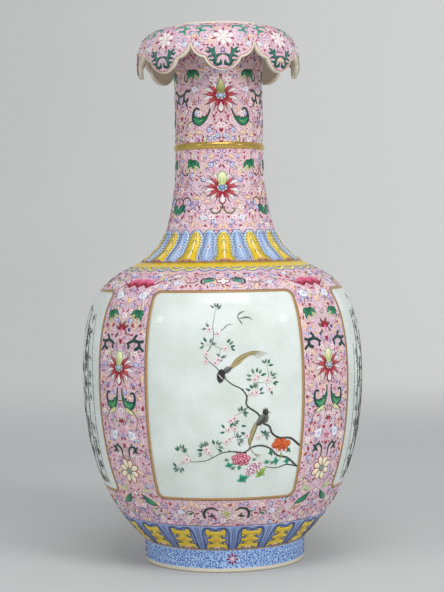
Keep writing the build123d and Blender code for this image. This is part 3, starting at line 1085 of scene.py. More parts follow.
def spray(pen, spot, reach, angles, leaves, blossoms, routes):
    """Leaves fanned about a twig's end and blossoms at its middle, on a twig from the nearest branch."""
    x, y = spot
    spots = np.concatenate([smooth_route(route, 40) for route in routes])
    gaps = np.hypot(*(spots - spot).T)
    root = spots[int(np.argmin(gaps))]
    if gaps.min() > 1.5:
        twig = [root, (root + spot) / 2 + 0.12 * np.array([y - root[1], root[0] - x]), spot]
        pen.stroke("bark", twig, (0.6, (1, 0.8, 0.6, 0.45)), 0.16)
        routes.append(twig)
    leaves += leaves > 2
    for k in range(leaves):
        angle = angles[0] + (angles[1] - angles[0]) * k / max(leaves - 1, 1) + random.uniform(-8, 8)
        dx, dy = spoke(angle, reach * random.uniform(0.92, 1.1))
        pen.stroke("bark", [spot, (x + 0.7 * dx, y + 0.7 * dy)], 0.3, 0.12)
        kind = random.choice(("leaf", "leaf", "acanthus"))
        small_leaf(pen, x + dx, y + dy, angle + random.uniform(-25, 25), random.uniform(3.2, 4.6), kind)
    for k in range(blossoms):
        dx, dy = spoke(angles[0] + 360 * k / max(blossoms, 2) + 40, 1.5 * min(blossoms - 1, 1.4))
        small_blossom(pen, x + dx, y + dy, random.uniform(0.88, 1.12), 90 + 31 * k)


UPPER_BRANCH = [
    (53.4, 95.4), (47, 101), (37.4, 102.5), (33.9, 105.5), (31.8, 110.6), (27.6, 112.9), (24.9, 118.7),
    (16, 127.4), (16.6, 131.5), (12.9, 137.2), (6.8, 140.4), (1.4, 145), (-4.1, 152.2), (-9.5, 156.6),
]
TOP_SPRIG = [
    (-9.5, 156.6), (-12, 161), (-9.4, 164), (-6.1, 171.2), (-6, 182.1), (-4.1, 191.3),
]
LOWER_BRANCH = [
    (51.5, 80.2), (43.7, 87.6), (37.3, 89.5), (33.1, 94.2), (28.6, 96.6), (21.7, 96.9), (13.5, 92.6),
    (7.5, 93.4), (0, 92.9), (-6.2, 90.1), (-11.6, 87.3), (-15.5, 86.6), (-22.5, 86.1),
]
RIGHT_TWIG = [(50.6, 80.6), (44.2, 82.2), (36.4, 80.4), (28.6, 81.8)]
# the middle of a spray, how far out its leaves are, between which angles, and how many leaves and blossoms
SPRAYS = (
    ((-4, 191.6), 3.4, (130, 30), 3, 0), ((-8.8, 178.4), 3.6, (175, 115), 2, 1),
    ((-3, 175.3), 3, (0, 0), 0, 1), ((-9.6, 167.2), 4.6, (190, 25), 4, 0),
    ((2.4, 165.2), 5.6, (70, -15), 3, 1), ((-1.2, 158.8), 2.6, (120, 20), 2, 0),
    ((-10.8, 161.4), 2, (0, 0), 0, 1), ((-11.2, 156.4), 2, (0, 0), 0, 1),
    ((-3.8, 156.4), 2.6, (5, 0), 1, 2), ((24, 137), 3.4, (150, 120), 2, 0),
    ((21.8, 134.2), 5.2, (150, -10), 4, 2), ((23.4, 144.4), 5.6, (180, 30), 5, 2),
    ((31, 142.4), 5.8, (60, -35), 4, 1), ((32.5, 136.4), 2.6, (-60, 0), 1, 1),
    ((30.2, 153), 3.4, (130, 0), 3, 0), ((13.2, 120.8), 2.8, (130, -50), 4, 0),
    ((6.6, 116), 3.8, (-10, -100), 3, 2), ((8, 109.4), 6.6, (15, -25), 2, 1),
    ((3.8, 109), 4.6, (150, 200), 2, 1), ((9.6, 101.6), 3.4, (80, -70), 4, 0),
    ((3.2, 101.4), 3, (0, 0), 0, 2), ((16.4, 104.4), 2, (0, 0), 0, 1),
    ((28, 104.2), 2.8, (110, -50), 4, 0), ((24.6, 103), 2, (0, 0), 0, 1),
    ((-11, 94), 5.6, (85, 215), 6, 2), ((-5.6, 96.6), 3.8, (110, -30), 4, 0),
    ((-29.4, 94.4), 2.9, (170, -20), 5, 0), ((-26.6, 86.9), 2, (0, 0), 0, 2),
    ((-31.4, 82.2), 3, (150, 330), 4, 0),
)
LOBED = (
    ((13.2, 73.6), 4.2, 20, "teal"), ((25.7, 77.6), 4.5, 40, "fresh_green"),
    ((3.7, 83.7), 2.9, 5, "teal"), ((6.4, 81.6), 2.1, 30, "leaf"), ((10.8, 81.8), 2.1, 60, "teal"),
    ((30, 85), 2.3, 10, "teal"), ((44.2, 84.8), 3, 80, "teal"), ((33, 91.6), 2.5, 100, "green"),
    ((36.4, 85.4), 3, 85, "teal"), ((45.2, 92.8), 2.5, 130, "green"), ((21.2, 87.2), 1.8, 20, "leaf"),
    ((2, 87.6), 1.9, 0, "leaf"), ((33.8, 84.4), 2, 40, "leaf"),
)


def black_bird(pen):
    """The upper bird: head down, a white line on the wing, and a long arching tail of fine plumes."""
    for k in range(6):
        t = k / 5
        tail = [
            (5.6 + 0.4 * t, 152.6 - t), (9.2 + 2 * t, 157.2 - 2.6 * t), (13.4 + 1.6 * t, 160.3 - 2.4 * t),
            (23.4 - 2.6 * t, 163 - 2.4 * t), (31.7 - 6 * t, 161.1 - 3 * t),
        ]
        pen.stroke("olive" if k in (0, 3) else "tan", tail, (1.15, (1, 1, 0.8, 0.5, 0.25)), 0.2,
            layer=k % 3)
    pen.blade("slate", (0.2, 147.8), (6.6, 152.4), 4.4, PETAL, 0.06, layer=3)
    for k in range(7):
        pen.blade("ink", (0.8 + 0.8 * k, 149.6 + 0.4 * k), (2.6 + 0.8 * k, 148 + 0.6 * k), 0.75, LEAF, 0.1,
            layer=5)
    pen.stroke("ink", [(0.2, 150.8), (-1, 147), (-1.6, 142)], (5.6, (0.5, 0.92, 1, 0.86, 0.4)), 0.36,
        layer=4, fine=False)
    pen.stroke("white", [(-2.8, 147.5), (-1.3, 145.8), (0.4, 144.1)], (0.8, EVEN), layer=8)
    pen.blade("slate", (-1.7, 142.3), (-2.5, 140.9), 0.7, LEAF, layer=4)
    pen.stroke("bark", [(1.4, 147), (2.4, 144.6)], (0.6, EVEN), layer=1)


def crested_bird(pen):
    """The lower bird: crested, perched upright, its tail hanging in a curve."""
    for k in range(5):
        t = k / 4
        tail = [
            (22.3 + 1.4 * t, 113.4 - 1.6 * t), (18.4 + 2.6 * t, 104.4 + 0.4 * t),
            (17.3 + 1.9 * t, 99.5 + 0.5 * t), (18.6, 96), (20 + 0.4 * t, 92.6),
            (26.6 - 2.6 * t, 90 - 2 * t),
        ]
        pen.stroke("olive" if k in (0, 4) else "tan", tail, (1.2, (0.9, 1, 0.9, 0.5, 0.4, 0.2)), 0.2,
            layer=k % 3)
    body = [
        (25.4, 118.4), (28, 119.6), (30.8, 119.6), (31.8, 116.8), (30.8, 113.4), (27.2, 112.4),
        (22.8, 110.6), (22.6, 113.4), (24, 116.2),
    ]
    pen.patch("slate", body, 0.34, layer=3)
    pen.blade("bark", (29.6, 118.6), (22.8, 111.2), 3.2, PETAL, 0.1, layer=5)
    for k in range(5):
        pen.stroke("ink", [(25 + 1.1 * k, 113 + 0.9 * k), (26.6 + 1 * k, 112.6 + 0.5 * k)], (0.5, EVEN),
            layer=8)
    pen.patch("ink", circle(2.2, 11) + (29.5, 120.5), 0.36, layer=5)
    for x, y in ((27.4, 123), (29.2, 124.2), (31.2, 123.4)):
        pen.blade("bark", (29.6, 121.2), (x, y), 1.1, LEAF, layer=4)
    pen.stroke("slate", [(27.4, 118.4), (29.4, 117.6), (31.4, 118.6)], (0.7, EVEN), layer=8)
    pen.blade("tan", (31.2, 120.6), (33.2, 120.2), 0.8, LEAF, layer=5)
    pen.dot("white", 30.2, 120.9, 0.3, layer=9)


def draw_front_picture():
    """Two long-tailed birds on a flowering branch."""
    pen = Pen(BODY_SKIN, "front_picture", 0, way="front")
    pen.stroke("bark", UPPER_BRANCH, (1.9, (1, 0.9, 0.85, 0.75, 0.6, 0.5, 0.35)), 0.22)
    pen.stroke("ink", [(x + 0.4, y - 0.4) for x, y in UPPER_BRANCH], (0.55, HAIR), layer=3)
    pen.stroke("bark", TOP_SPRIG, (0.85, (1, 0.8, 0.6, 0.4)), 0.2)
    pen.stroke("bark", LOWER_BRANCH, (1.6, (1, 0.9, 0.8, 0.7, 0.5, 0.4)), 0.22)
    pen.stroke("ink", [(x, y - 0.5) for x, y in LOWER_BRANCH[:8]], (0.5, HAIR), layer=3)
    pen.stroke("bark", RIGHT_TWIG, (1.3, (1, 0.9, 0.7, 0.5)), 0.18)
    for route in (UPPER_BRANCH, LOWER_BRANCH):
        for k, (x, y) in enumerate(smooth_route(route, 22)[:15]):
            pen.dot("ink" if k % 2 else "bark", x + random.uniform(-0.6, 0.6), y + 0.5 * (-1) ** k,
                0.45 + 0.3 * random.random(), layer=2)
    routes = [UPPER_BRANCH, TOP_SPRIG, LOWER_BRANCH]
    for spot, reach, angles, leaves, blossoms in SPRAYS:
        spray(pen, np.array(spot), reach, angles, leaves, blossoms, routes)
    for route, width in (
        ([(10.8, 187.2), (13.2, 189.6), (16.2, 190.6)], 1.5),
        ([(11.6, 185.4), (15.6, 186.2), (18.8, 186.2), (21.6, 184.2)], 1.6),
        ([(11.6, 185.2), (13.4, 183), (14.4, 181)], 1.3),
        ([(10.9, 187.6), (11.4, 186), (11.8, 184.4)], 1.1),
    ):
        pen.stroke("slate", route, (width, (0.3, 0.8, 1, 0.7, 0.15)), 0.18)
    for route in (
        [(-0.6, 177.6), (2.6, 180), (3.6, 182.4)], [(1.6, 179.4), (5, 181.6), (8.8, 181.4)],
        [(4, 181.2), (6.4, 182.4)],
    ):
        pen.stroke("brown", route, (0.75, HAIR), 0.16)
    for spot, size, turn, enamel in LOBED:
        lobed_leaf(pen, *spot, 1.2 * size, turn, enamel)
    black_bird(pen)
    crested_bird(pen)
    open_flower(pen.at(12, 87.8), "rose", "crimson", "petal", 1)
    for x in (-2.4, 0.2, 2.8):
        edged_blade(pen, "blossom", "rose", (40 + x, 94.6), (40.4 + 1.2 * x, 91.8), 2.2, PETAL)
    open_flower(pen.at(40.2, 97.2), "orange", "iron_red", "orange", 1, 6)
    pen.blade("fresh_green", (40, 91.6), (39, 86), 1.9, LEAF, 0.1)
    cluster = pen.at(21, 80.8, turn=36, size=1.2)
    for k in range(26):
        x, y = spoke(137.5 * k, 1.05 * math.sqrt(k))
        cluster.patch("plum" if k % 3 else "rose", circle(1.15, 8) + (x, 0.56 * y), 0.18, layer=k % 3)
        cluster.patch("pink" if k % 2 else "white", circle(0.85, 8) + (1.06 * x, 0.62 * y), 0.2,
            layer=k % 3 + 1)


def draw_back_picture():
    """A flowering tree of the other season: a twisted trunk, peonies at its foot, one small bird."""
    pen = Pen(BODY_SKIN, "back_picture", 181)
    base = rise(60)
    field = pen.at(0, base)
    trunk = [
        (-43, 22), (-34, 30), (-27, 40), (-19, 46), (-12, 58), (-10, 70), (-3, 80), (1, 92), (-2, 104),
        (4, 116),
    ]
    limbs = (
        [(-27, 40), (-31, 54), (-27, 66), (-30, 80)], [(-12, 58), (0, 62), (12, 60), (22, 66), (31, 64)],
        [(-3, 80), (9, 86), (17, 96), (28, 100)], [(-10, 70), (-17, 82), (-16, 94), (-22, 104)],
        [(4, 116), (12, 124), (22, 124)], [(1, 92), (-8, 104), (-12, 118)],
    )
    field.stroke("bark", trunk, (3.4, (1, 0.9, 0.8, 0.6, 0.5, 0.35, 0.25)), 0.3)
    field.stroke("ink", [(x + 0.8, y - 0.6) for x, y in trunk], (0.8, HAIR), layer=4)
    for limb in limbs:
        field.stroke("bark", limb, (1.4, (1, 0.8, 0.6, 0.45, 0.3)), 0.22)
    for route in [trunk[3:], *limbs]:
        for x, y in smooth_route(route, 9)[1:]:
            along = random.uniform(0, 360)
            for k in range(random.choice((2, 3, 3))):
                angle = along + 120 * k + random.uniform(-25, 25)
                dx, dy = spoke(angle, random.uniform(2.6, 4.6))
                if random.random() < 0.55:
                    small_leaf(field, x + dx, y + dy, angle, random.uniform(3, 4.4),
                        random.choice(("leaf", "green", "teal")))
                else:
                    small_blossom(field, x + 0.8 * dx, y + 0.8 * dy, random.uniform(0.9, 1.3), angle)
    for x, y, size, petal, edge in (
        (-30, 18, 1.5, "blossom", "rose"), (-14, 12, 1.2, "lilac", "violet"),
        (-37, 33, 1, "orange", "iron_red"),
    ):
        for k in range(7):
            angle = 200 + 40 * k
            dx, dy = spoke(angle, 8.6 * size)
            ex, ey = spoke(angle, 3 * size)
            edged_blade(field, "teal" if k % 2 else "green", "dark_green", (x + ex, y + 0.7 * ey),
                (x + dx, y + 0.7 * dy), 3.4 * size, LEAF, 0.08, 0.5)
        open_flower(field.at(x, y), petal, edge, "yellow", size)
    bird = field.at(16, 68.5, turn=12)
    bird.stroke("olive", [(-2, 0), (-9, -4), (-15, -9), (-19, -15)], (2.2, (0.9, 1, 0.7, 0.4)), 0.22)
    bird.stroke("slate_blue", [(4.6, 3.4), (1.2, 1.6), (-2.8, -0.4)], (5.2, (0.5, 1, 0.95, 0.4)), 0.34,
        layer=1)
    bird.patch("ink", circle(2.1, 11) + (5.2, 4.2), 0.36, layer=2)
    bird.patch("iron_red", circle(1.5, 10, 0.8) + (3.6, 1.4), 0.3, layer=4)
    bird.blade("tan", (6.8, 4.4), (9.2, 4), 0.9, LEAF, layer=3)
    bird.dot("white", 5.8, 4.7, 0.35, layer=5)
    bird.stroke("bark", [(1.4, -1), (1, -3.2)], (0.6, EVEN))


def bamboo_spray(pen, x, y, side, enamel, size):
    """A thin branch with a hanging fan of narrow leaves."""
    tip_x, tip_y = x + side * 4.2 * size, y + 3.4 * size
    pen.stroke(enamel, [(x, y), (x + side * 2.2 * size, y + 2.4 * size), (tip_x, tip_y)], (0.5, HAIR), 0.12,
        layer=1)
    for k in range(random.choice((3, 4, 5))):
        angle = 90 - side * (62 + 27 * k + random.uniform(-9, 9))
        dx, dy = spoke(angle, size * random.uniform(5, 8.2))
        pen.blade(enamel, (tip_x, tip_y), (tip_x + dx, tip_y + dy), 1.5 * size, LEAF, 0.07 * side,
            layer=1 + k % 2)


def draw_bamboo(azimuth):
    """A grove of ink bamboo: pale canes behind dark ones, rising from grass, each to its own height."""
    pen = Pen(BODY_SKIN, "side_pictures", azimuth)
    low, high = rise(63), rise(198)
    canes = (
        (-39, 0.74, 0.5), (-31, 0.92, 0.3), (-22, 0.66, 1), (-13, 0.98, 0.4), (-5, 0.8, 1),
        (3, 0.96, 0.7), (12, 0.7, 0.8), (20, 0.94, 1), (29, 0.84, 0.4), (38, 0.92, 0.3),
    )
    for k, (foot, share, bow) in enumerate(canes):
        enamel = ("slate", "ink", "ink")[k % 3]
        size, layer = (0.85, 0) if enamel == "slate" else (1.05, 2)

        def sway(along):
            """How far to the right the cane stands at a distance along the skin."""
            u = (along - low) / (high - low)
            lean = foot * (1 + 0.2 * math.sin(math.pi * min(u, 1)))
            return lean + 5 * bow * math.sin(3.2 * u + 0.7 * k) - 2 * bow

        y = start = low + random.uniform(0, 7)
        top = low + share * (high - low)
        while y < top:
            length = random.uniform(8, 11.5)
            x = sway(y)
            joint = [(x, y), (sway(y + length), min(y + length - 0.9, top))]
            thick = size * (1.9 - 0.8 * (y - low) / (high - low))
            pen.stroke(enamel, joint, (thick, (1, 0.72, 0.64, 0.72, 1)), 0.2, layer)
            if y > start and random.random() < 0.78:
                side = random.choice((-1, 1)) if abs(x) < 32 else -math.copysign(1, x)
                bamboo_spray(pen, x, y - 0.5, side, enamel, size)
            y += length
    for _ in range(30):
        x = random.uniform(-40, 40)
        enamel = random.choice(("ink", "slate", "olive"))
        tip = x + random.uniform(-3, 3), low + random.uniform(4, 9)
        pen.blade(enamel, (x, low - 0.5), tip, 0.9, LEAF, random.uniform(-0.15, 0.15))


# ------------------------------------------------------------------ layout: the body

def body_pen(region, azimuth, height):
    """A pen on the body, the foot or the neck."""
    return Pen(BODY_SKIN, region, azimuth, rise(height))


def corner_cut(along, low, high):
    """How far a panel's rounded corner cuts in from its side, at a distance along the skin."""
    inset = CORNER - min(along - low, high - along)
    return CORNER - math.sqrt(max(CORNER**2 - inset**2, 0)) if inset > 0 else 0


def panel_reach(along, grow=0):
    """Half of a panel's width in degrees, grown by some mm, or 0 above and below the panel."""
    low, high = BODY_SKIN.along(PANEL_LOW) - grow, BODY_SKIN.along(PANEL_HIGH) + grow
    if not low <= along <= high:
        return 0
    return PANEL_HALF - math.degrees((corner_cut(along, low, high) - grow) / float(BODY_SKIN.radius(along)))


def panel_route(inset):
    """The closed outline of a panel, set in by some mm, as degrees from its middle and distances along."""
    low, high = BODY_SKIN.along(PANEL_LOW) + inset, BODY_SKIN.along(PANEL_HIGH) - inset
    ends = np.linspace(0, math.pi / 2, 8)
    rise = (CORNER - inset) * (1 - np.cos(ends))
    alongs = np.concatenate([low + rise, np.linspace(low, high, 60)[4:-4], high - rise[::-1]])
    right = np.array([(panel_reach(a, -inset), a) for a in alongs])
    across = np.linspace(-1, 1, 30)[1:-1, None]
    top = right[-1] * (1, 0) * -across + (0, right[-1, 1])
    bottom = right[0] * (1, 0) * across + (0, right[0, 1])
    return np.concatenate([right, top, right[::-1] * (-1, 1), bottom])


def draw_panel_field(azimuth):
    """A white panel with its gold frame, wrapped on the body between two pillars."""
    rows = np.linspace(BODY_SKIN.along(PANEL_LOW), BODY_SKIN.along(PANEL_HIGH), 90)
    grid = [azimuth + panel_reach(along) * np.linspace(-1, 1, 40) for along in rows]
    sheet("panels", "panel_glaze", BODY_SKIN, grid, rows[:, None])
    pen = Pen(BODY_SKIN, "panels", azimuth, way="polar")
    pen.stroke("frame_gold", panel_route(0), 2.2, 0.2, layer=1, closed=True)
    pen.stroke("brown", panel_route(-1.1), 0.4, 0.1, layer=2, closed=True)


def draw_pillar(azimuth):
    """The flowers between two panels, the same to the left and right of the pillar's axis."""
    axis = Pen(BODY_SKIN, "pillars", azimuth)

    def spot(degrees, level, height):
        """A place at a height, some degrees out from the axis as measured at a level."""
        return math.radians(degrees) * float(BODY_SKIN.radius(rise(level))), rise(height)

    bat(axis.at(*spot(1.5, 209, 209.5)))
    peach_fruit(axis.at(0, rise(198), size=1.2))
    for side in axis.sides():
        bluish_floret(side.at(*spot(7.3, 202, 201.5), size=1.1))
        stem(side, [spot(7.6, 199, 198.5), spot(8.6, 195, 194), spot(8.2, 190, 190)], 0.8)
        cap_leaf(side.at(*spot(8.2, 190, 190.5), size=0.95))
        sprig(side.at(*spot(7.8, 169, 168.5)))
        hook_leaf(side.at(*spot(1.2, 128, 129.5), size=1.2))
        for x, y in ((7.4, 118), (4.2, 118.6)):
            edged_blade(side, "lime", "leaf", spot(3.4, 123, 123.4), spot(x, 118, y), 2.6, LEAF, -0.14, 0.5)
        stem(side, [spot(6.2, 121, 121), spot(8.8, 114, 114), spot(7.2, 105, 106)], 0.9)
        bluish_floret(side.at(*spot(4.9, 102, 102.5), turn=-60, size=1.1))
        hooked_curl(side.at(*spot(2.2, 85, 85.5)))
        edged_blade(side, "green", "dark_green", spot(3.6, 60, 59.5), spot(10.4, 52, 52.5), 4.6,
            (0.1, 0.5, 0.9, 1, 0.8, 0.3), -0.1, 0.7, layer=1)
        side.stroke("olive", [spot(9.4, 53, 54), spot(10.8, 53, 50.6), spot(8.8, 50, 49),
            spot(7.2, 50, 50.4)], (1, EVEN))
        for x, y in ((10.6, 62.4), (7.8, 64.6)):
            edged_blade(side, "lime", "leaf", spot(4.6, 60, 60.6), spot(x, 62, y), 1.7, LEAF, 0.16, 0.4)
        bluish_floret(side.at(*spot(10.5, 216, 216), turn=20, size=0.6))
        stem(side, [spot(6, 44, 47), spot(8, 43, 43.5), spot(10.5, 43, 44)], 0.7)
    red_flower(axis.at(0, rise(178), size=1.25))
    heart(axis.at(0, rise(169.5), size=1.1))
    lotus(axis.at(0, rise(151)))
    cream_flower(axis.at(0, rise(76.5), size=1.22))
    red_flower(axis.at(0, rise(112), size=0.7))
    heart(axis.at(0, rise(95), size=0.9))
    quatrefoil(axis.at(0, rise(60), size=0.7))


def draw_strips(azimuth):
    """The narrow bands of ground above and below a panel."""
    top = body_pen("strips", azimuth, 211.3)
    quatrefoil(top.at(size=1.1))
    for side in top.sides():
        side.stroke("dark_green", [(4.6, 1.6), (8, 3.2), (12.2, 2.8), (15.4, 0.6), (15, -2.2),
            (12.8, -2.8)], (1.5, (0.6, 0.9, 1, 1.1, 1, 0.7)), 0.2)
        edged_blade(side, "teal", "dark_green", (6, 0.8), (13.2, -0.8), 3.4, (0.1, 0.6, 1, 0.9, 0.5), 0.1)
        side.blade("dark_green", (9.6, 0.2), (11.6, 2.4), 1.6)
        side.blade("petal", (7.6, -2), (10.4, -2.6), 1.2)
        side.stroke("olive", [(17.4, 0), (21.6, -1.6), (26.2, -0.8), (27.4, 2)],
            (1.2, (0.4, 0.8, 1, 0.9, 0.5)), 0.2)
        bluish_floret(side.at(33.5, -1.6, size=0.7))
        side.stroke("olive", [(30, 2.6), (33.4, 4), (37.2, 2.4)], (0.8, EVEN), 0.2)
        side.blade("green", (36.8, 2.4), (40.4, 0.2), 1.9)
    low = body_pen("strips", azimuth, 47.5)
    floret(low, 4, "lime", "leaf", "yellow", 6)
    for side in low.sides():
        side.stroke("dark_green", [(6, 2.6), (9.4, 4.6), (13.8, 4), (16, 0.4), (15.2, -4.4)],
            (2.1, (0.5, 0.9, 1, 1.1, 0.9)), 0.22)
        for start, end, wide in (
            ((10.4, -2.8), (8.2, -1.6), 1.7), ((10.4, -2.8), (13, -2.4), 1.7),
            ((10.4, -2.8), (10.4, 0.4), 1.7), ((15.6, 1.2), (18.2, 1.8), 1.5),
        ):
            side.stroke("dark_green", [start, end], (wide, (1, 0.9, 0.7)), 0.22)
        side.blade("crimson", (19, 0.4), (22.4, -0.6), 1.8, DROP)
        side.stroke("olive", [(22.4, -2.2), (25, 1.8), (28.4, 1), (29, -2)], (1.1, EVEN), 0.2)
        side.blade("green", (24, 0.4), (27.8, -2), 2.2)
        bluish_floret(side.at(33, 0.6, size=0.75))


# ------------------------------------------------------------------ layout: the banded borders

def lappet(azimuth, fill, widths, foot_mark):
    """One upright tongue at the neck's root: a pale edge, a nicked outline, the fill and its stalk."""
    low, high = rise(225.3), rise(LAPPET_TOP)
    tall = high - low
    pen = Pen(BODY_SKIN, "lappets", azimuth, low)
    wide = max(widths)
    for grow, enamel, over in ((3.6, "slate_blue", 1), (2.6, "pale_sky", 0.6), (0, fill, -0.6)):
        shares = tuple((w + grow) / (wide + grow) for w in widths)
        pen.stroke(enamel, [(0, 0), (0, tall / 2), (0, tall + over)], (wide + grow, shares), 0.16,
            layer=int(5 - grow - over), fine=False)
    ticks = 12
    for side in pen.sides():
        for k in range(1, ticks):
            t = k / ticks
            edge = 0.5 * float(np.interp(t, np.linspace(0, 1, len(widths)), widths))
            tick = "olive" if fill == "yellow" else "slate_blue"
            side.blade(tick, (edge + 0.7, t * tall - 0.3), (edge - 2, t * tall + 0.9), 0.8, LEAF, layer=6)
        if fill != "yellow":
            side.stroke("bluish", [(0.2 * wide, 2), (0.26 * wide, 0.35 * tall), (0.14 * wide, 0.7 * tall)],
                (0.6, HAIR), layer=6)
    line = "ivory" if fill == "yellow" else "bluish"
    pen.stroke(line, [(0, 2), (0, 0.5 * tall), (0, 0.88 * tall)], (1.5, (0.8, 1, 0.9, 0.8, 0.5)), 0.16,
        layer=6)
    if foot_mark == "flower":
        for x, y in ((-2.6, 0.9), (0, 1.7), (2.6, 0.9)):
            pen.patch("crimson", circle(1.45, 8, 0.8) + (x, y), 0.2, layer=7)
            pen.patch("pink", circle(0.9, 8, 0.8) + (x, y), 0.2, layer=8)
        pen.stroke("olive", [(-2.4, 0.3 * tall), (0, 0.44 * tall), (2.4, 0.3 * tall)], (0.8, EVEN), layer=7)
        pen.stroke("olive", [(-2.2, 0.62 * tall), (0, 0.76 * tall), (2.2, 0.62 * tall)], (0.8, EVEN),
            layer=7)
        pen.stroke("olive", [(-1.4, 0.8 * tall), (0, 0.92 * tall), (1.4, 0.8 * tall)], (0.7, EVEN), layer=7)
    else:
        pen.patch("bluish", [(0, 0.66 * tall), (1.9, 0.52 * tall), (0, 0.38 * tall), (-1.9, 0.52 * tall)],
            0.2, layer=7)
        pen.patch("iron_red", [(0, 0.59 * tall), (0.8, 0.52 * tall), (0, 0.45 * tall), (-0.8, 0.52 * tall)],
            0.2, layer=8)


def draw_lappets():
    """Yellow and blue tongues by turns round the neck's root."""
    pitch = 360 / 26
    for k in range(26):
        azimuth = NECK_FRONT + k * pitch
        if k % 2 == 0:
            lappet(azimuth, "yellow", (15.6, 14, 12, 10.6, 10, 10.2, 10.4, 10, 9.2, 7.4, 2), "flower")
        else:
            lappet(azimuth, "soft_sky", (5, 6, 8.8, 10.6, 9.4, 7.8, 7.8, 8, 7.6, 6.2, 2), "diamond")


def draw_scalloped_border():
    """The yellow cloud-collar edge that hangs below the gold shoulder line."""
    scallops = 40
    top, bottom = rise(SHOULDER), rise(219.6)
    azimuth = np.linspace(0, 360, 481)
    wave = np.abs(np.cos(np.radians(azimuth * scallops / 2)))
    lower = bottom - 3.6 * wave**1.2 + 2.4
    alongs = lower + (top - lower) * np.linspace(0, 1, 4)[:, None]
    sheet("border", "yellow", BODY_SKIN, np.broadcast_to(azimuth, alongs.shape), alongs, 0.12)
    pitch = 360 / scallops
    for k in range(scallops):
        pen = Pen(BODY_SKIN, "border", k * pitch, bottom, way="polar")
        x = np.linspace(-pitch / 2, pitch / 2, 9)
        y = -3.6 * np.abs(np.cos(np.radians(x * scallops / 2))) ** 1.2 + 2.4
        pen.stroke("lime" if k % 3 else "pale_sky", np.stack([x, y - 0.8], -1), 2.4, 0.14)
        pen.stroke("slate_blue", np.stack([x, y - 2.1], -1), 0.9, 0.16, layer=1)
        pen.stroke("pale_sky", np.stack([x[1:-1], y[1:-1] + 2.9], -1), 1.5, 0.1, layer=2)
        pen.stroke("slate_blue", np.stack([x[1:-1], y[1:-1] + 2.2], -1), 0.8, 0.12, layer=3)


def cloud_tongue(azimuth, low, tall):
    """One stacked yellow cloud of the lower band, in its blue arch."""
    pen = Pen(BODY_SKIN, "band", azimuth, low)
    t = tall / 20.5
    lobes = (15, 7, 3.8), (9, 6.4, 3.4), (3.4, 7, 4)
    for grow, enamel, layer in ((1.7, "slate_blue", 0), (0, "yellow", 1)):
        pen.stroke(enamel, [(0, 1 * t), (0, 9 * t), (0, 16.2 * t)], (7.4 + grow, EVEN), 0.2, layer,
            fine=False)
        for y, half, thick in lobes:
            route = [(-half - grow / 2, y * t), (0, y * t), (half + grow / 2, y * t)]
            pen.stroke(enamel, route, (thick * t + grow, (0.7, 1, 0.95, 1, 0.7)), 0.22, layer, fine=False)
        for x, y, r in ((5.6, 17, 1.9), (5.8, 12.8, 1.2), (5.6, 6.2, 1.1), (6.2, 1.9, 1.6)):
            for s in (-1, 1):
                pen.patch(enamel, circle(r + grow / 2, 9) + (s * x, y * t), 0.22, layer)
    for y in (12.2, 6.2):
        for x in (-4.6, 4.6):
            pen.stroke("olive", [(0.4 * x, y * t + 0.3), (1.35 * x, y * t)], (0.8, HAIR), 0.12, layer=4)
    pen.patch("orange", circle(2.2, 9, 0.8) + (0, 9.4 * t), 0.16, layer=3)
    pen.patch("yellow", circle(1.6, 9, 0.8) + (0, 9.4 * t), 0.2, layer=4)
    pen.patch("peach", circle(2.4, 9, 0.7) + (0, 1.9 * t), 0.22, layer=4)
    pen.patch("iron_red", circle(1.2, 8, 0.8) + (0, 1.6 * t), 0.22, layer=5)
    arch = [
        (-8.5, 0.2), (-8.9, 9 * t), (-9, 16.8 * t), (-8, 19 * t), (-3, 19.2 * t), (0, 17.9 * t),
        (3, 19.2 * t), (8, 19 * t), (9, 16.8 * t), (8.9, 9 * t), (8.5, 0.2),
    ]
    pen.stroke("slate_blue", arch, 1.5, 0.18, layer=2)


def draw_lower_band():
    """The blue band over the foot, with yellow clouds between pairs of bars."""
    low, high = rise(BAND_LOW), rise(BAND_HIGH)
    azimuth = np.linspace(0, 360, 181)
    rows = np.linspace(low - 0.6, high, 12)[:, None]
    sheet("band", "band_blue", BODY_SKIN, np.broadcast_to(azimuth, (12, 181)), rows, 0.06)
    for k in range(18):
        middle = -5 + 20 * k
        cloud_tongue(middle, low, high - low)
        bars = Pen(BODY_SKIN, "band", middle + 10, low, way="polar")
        tall = high - low
        for x in (-0.55, 0.55):
            bars.stroke("slate_blue", [(x, 0), (x, tall / 2), (x, tall - 0.6)], 0.7, 0.18)


def draw_foot():
    """Blue scrollwork all round, with a small crimson flower on each side."""
    for k in range(4):
        pen = body_pen("foot", 5 + 90 * k, 10)
        for j in range(8):
            pen.blade("crimson", *ray(45 * j, 1.6, 4.8), 1.6, LEAF, layer=1)
        pen.patch("pink", circle(1.8, 9), 0.25, layer=2)
        pen.dot("white", 0, 0, 0.6, layer=3)
    for row in range(4):
        for k in range(112):
            azimuth = 360 * (k + 0.5 * (row % 2) + random.uniform(-0.2, 0.2)) / 112
            if abs((azimuth - 5 + 45) % 90 - 45) < 5.4:
                continue
            pen = body_pen("foot", azimuth, 5.2 + 2.9 * row + random.uniform(-0.4, 0.4))
            size, start = random.uniform(1.1, 1.5), random.uniform(0, 360)
            pen.stroke("blue", spiral(0, 0, size, start, random.choice((-1.1, 1.1)), 0.2), (0.55, HAIR),
                0.1)


# ------------------------------------------------------------------ layout: the neck

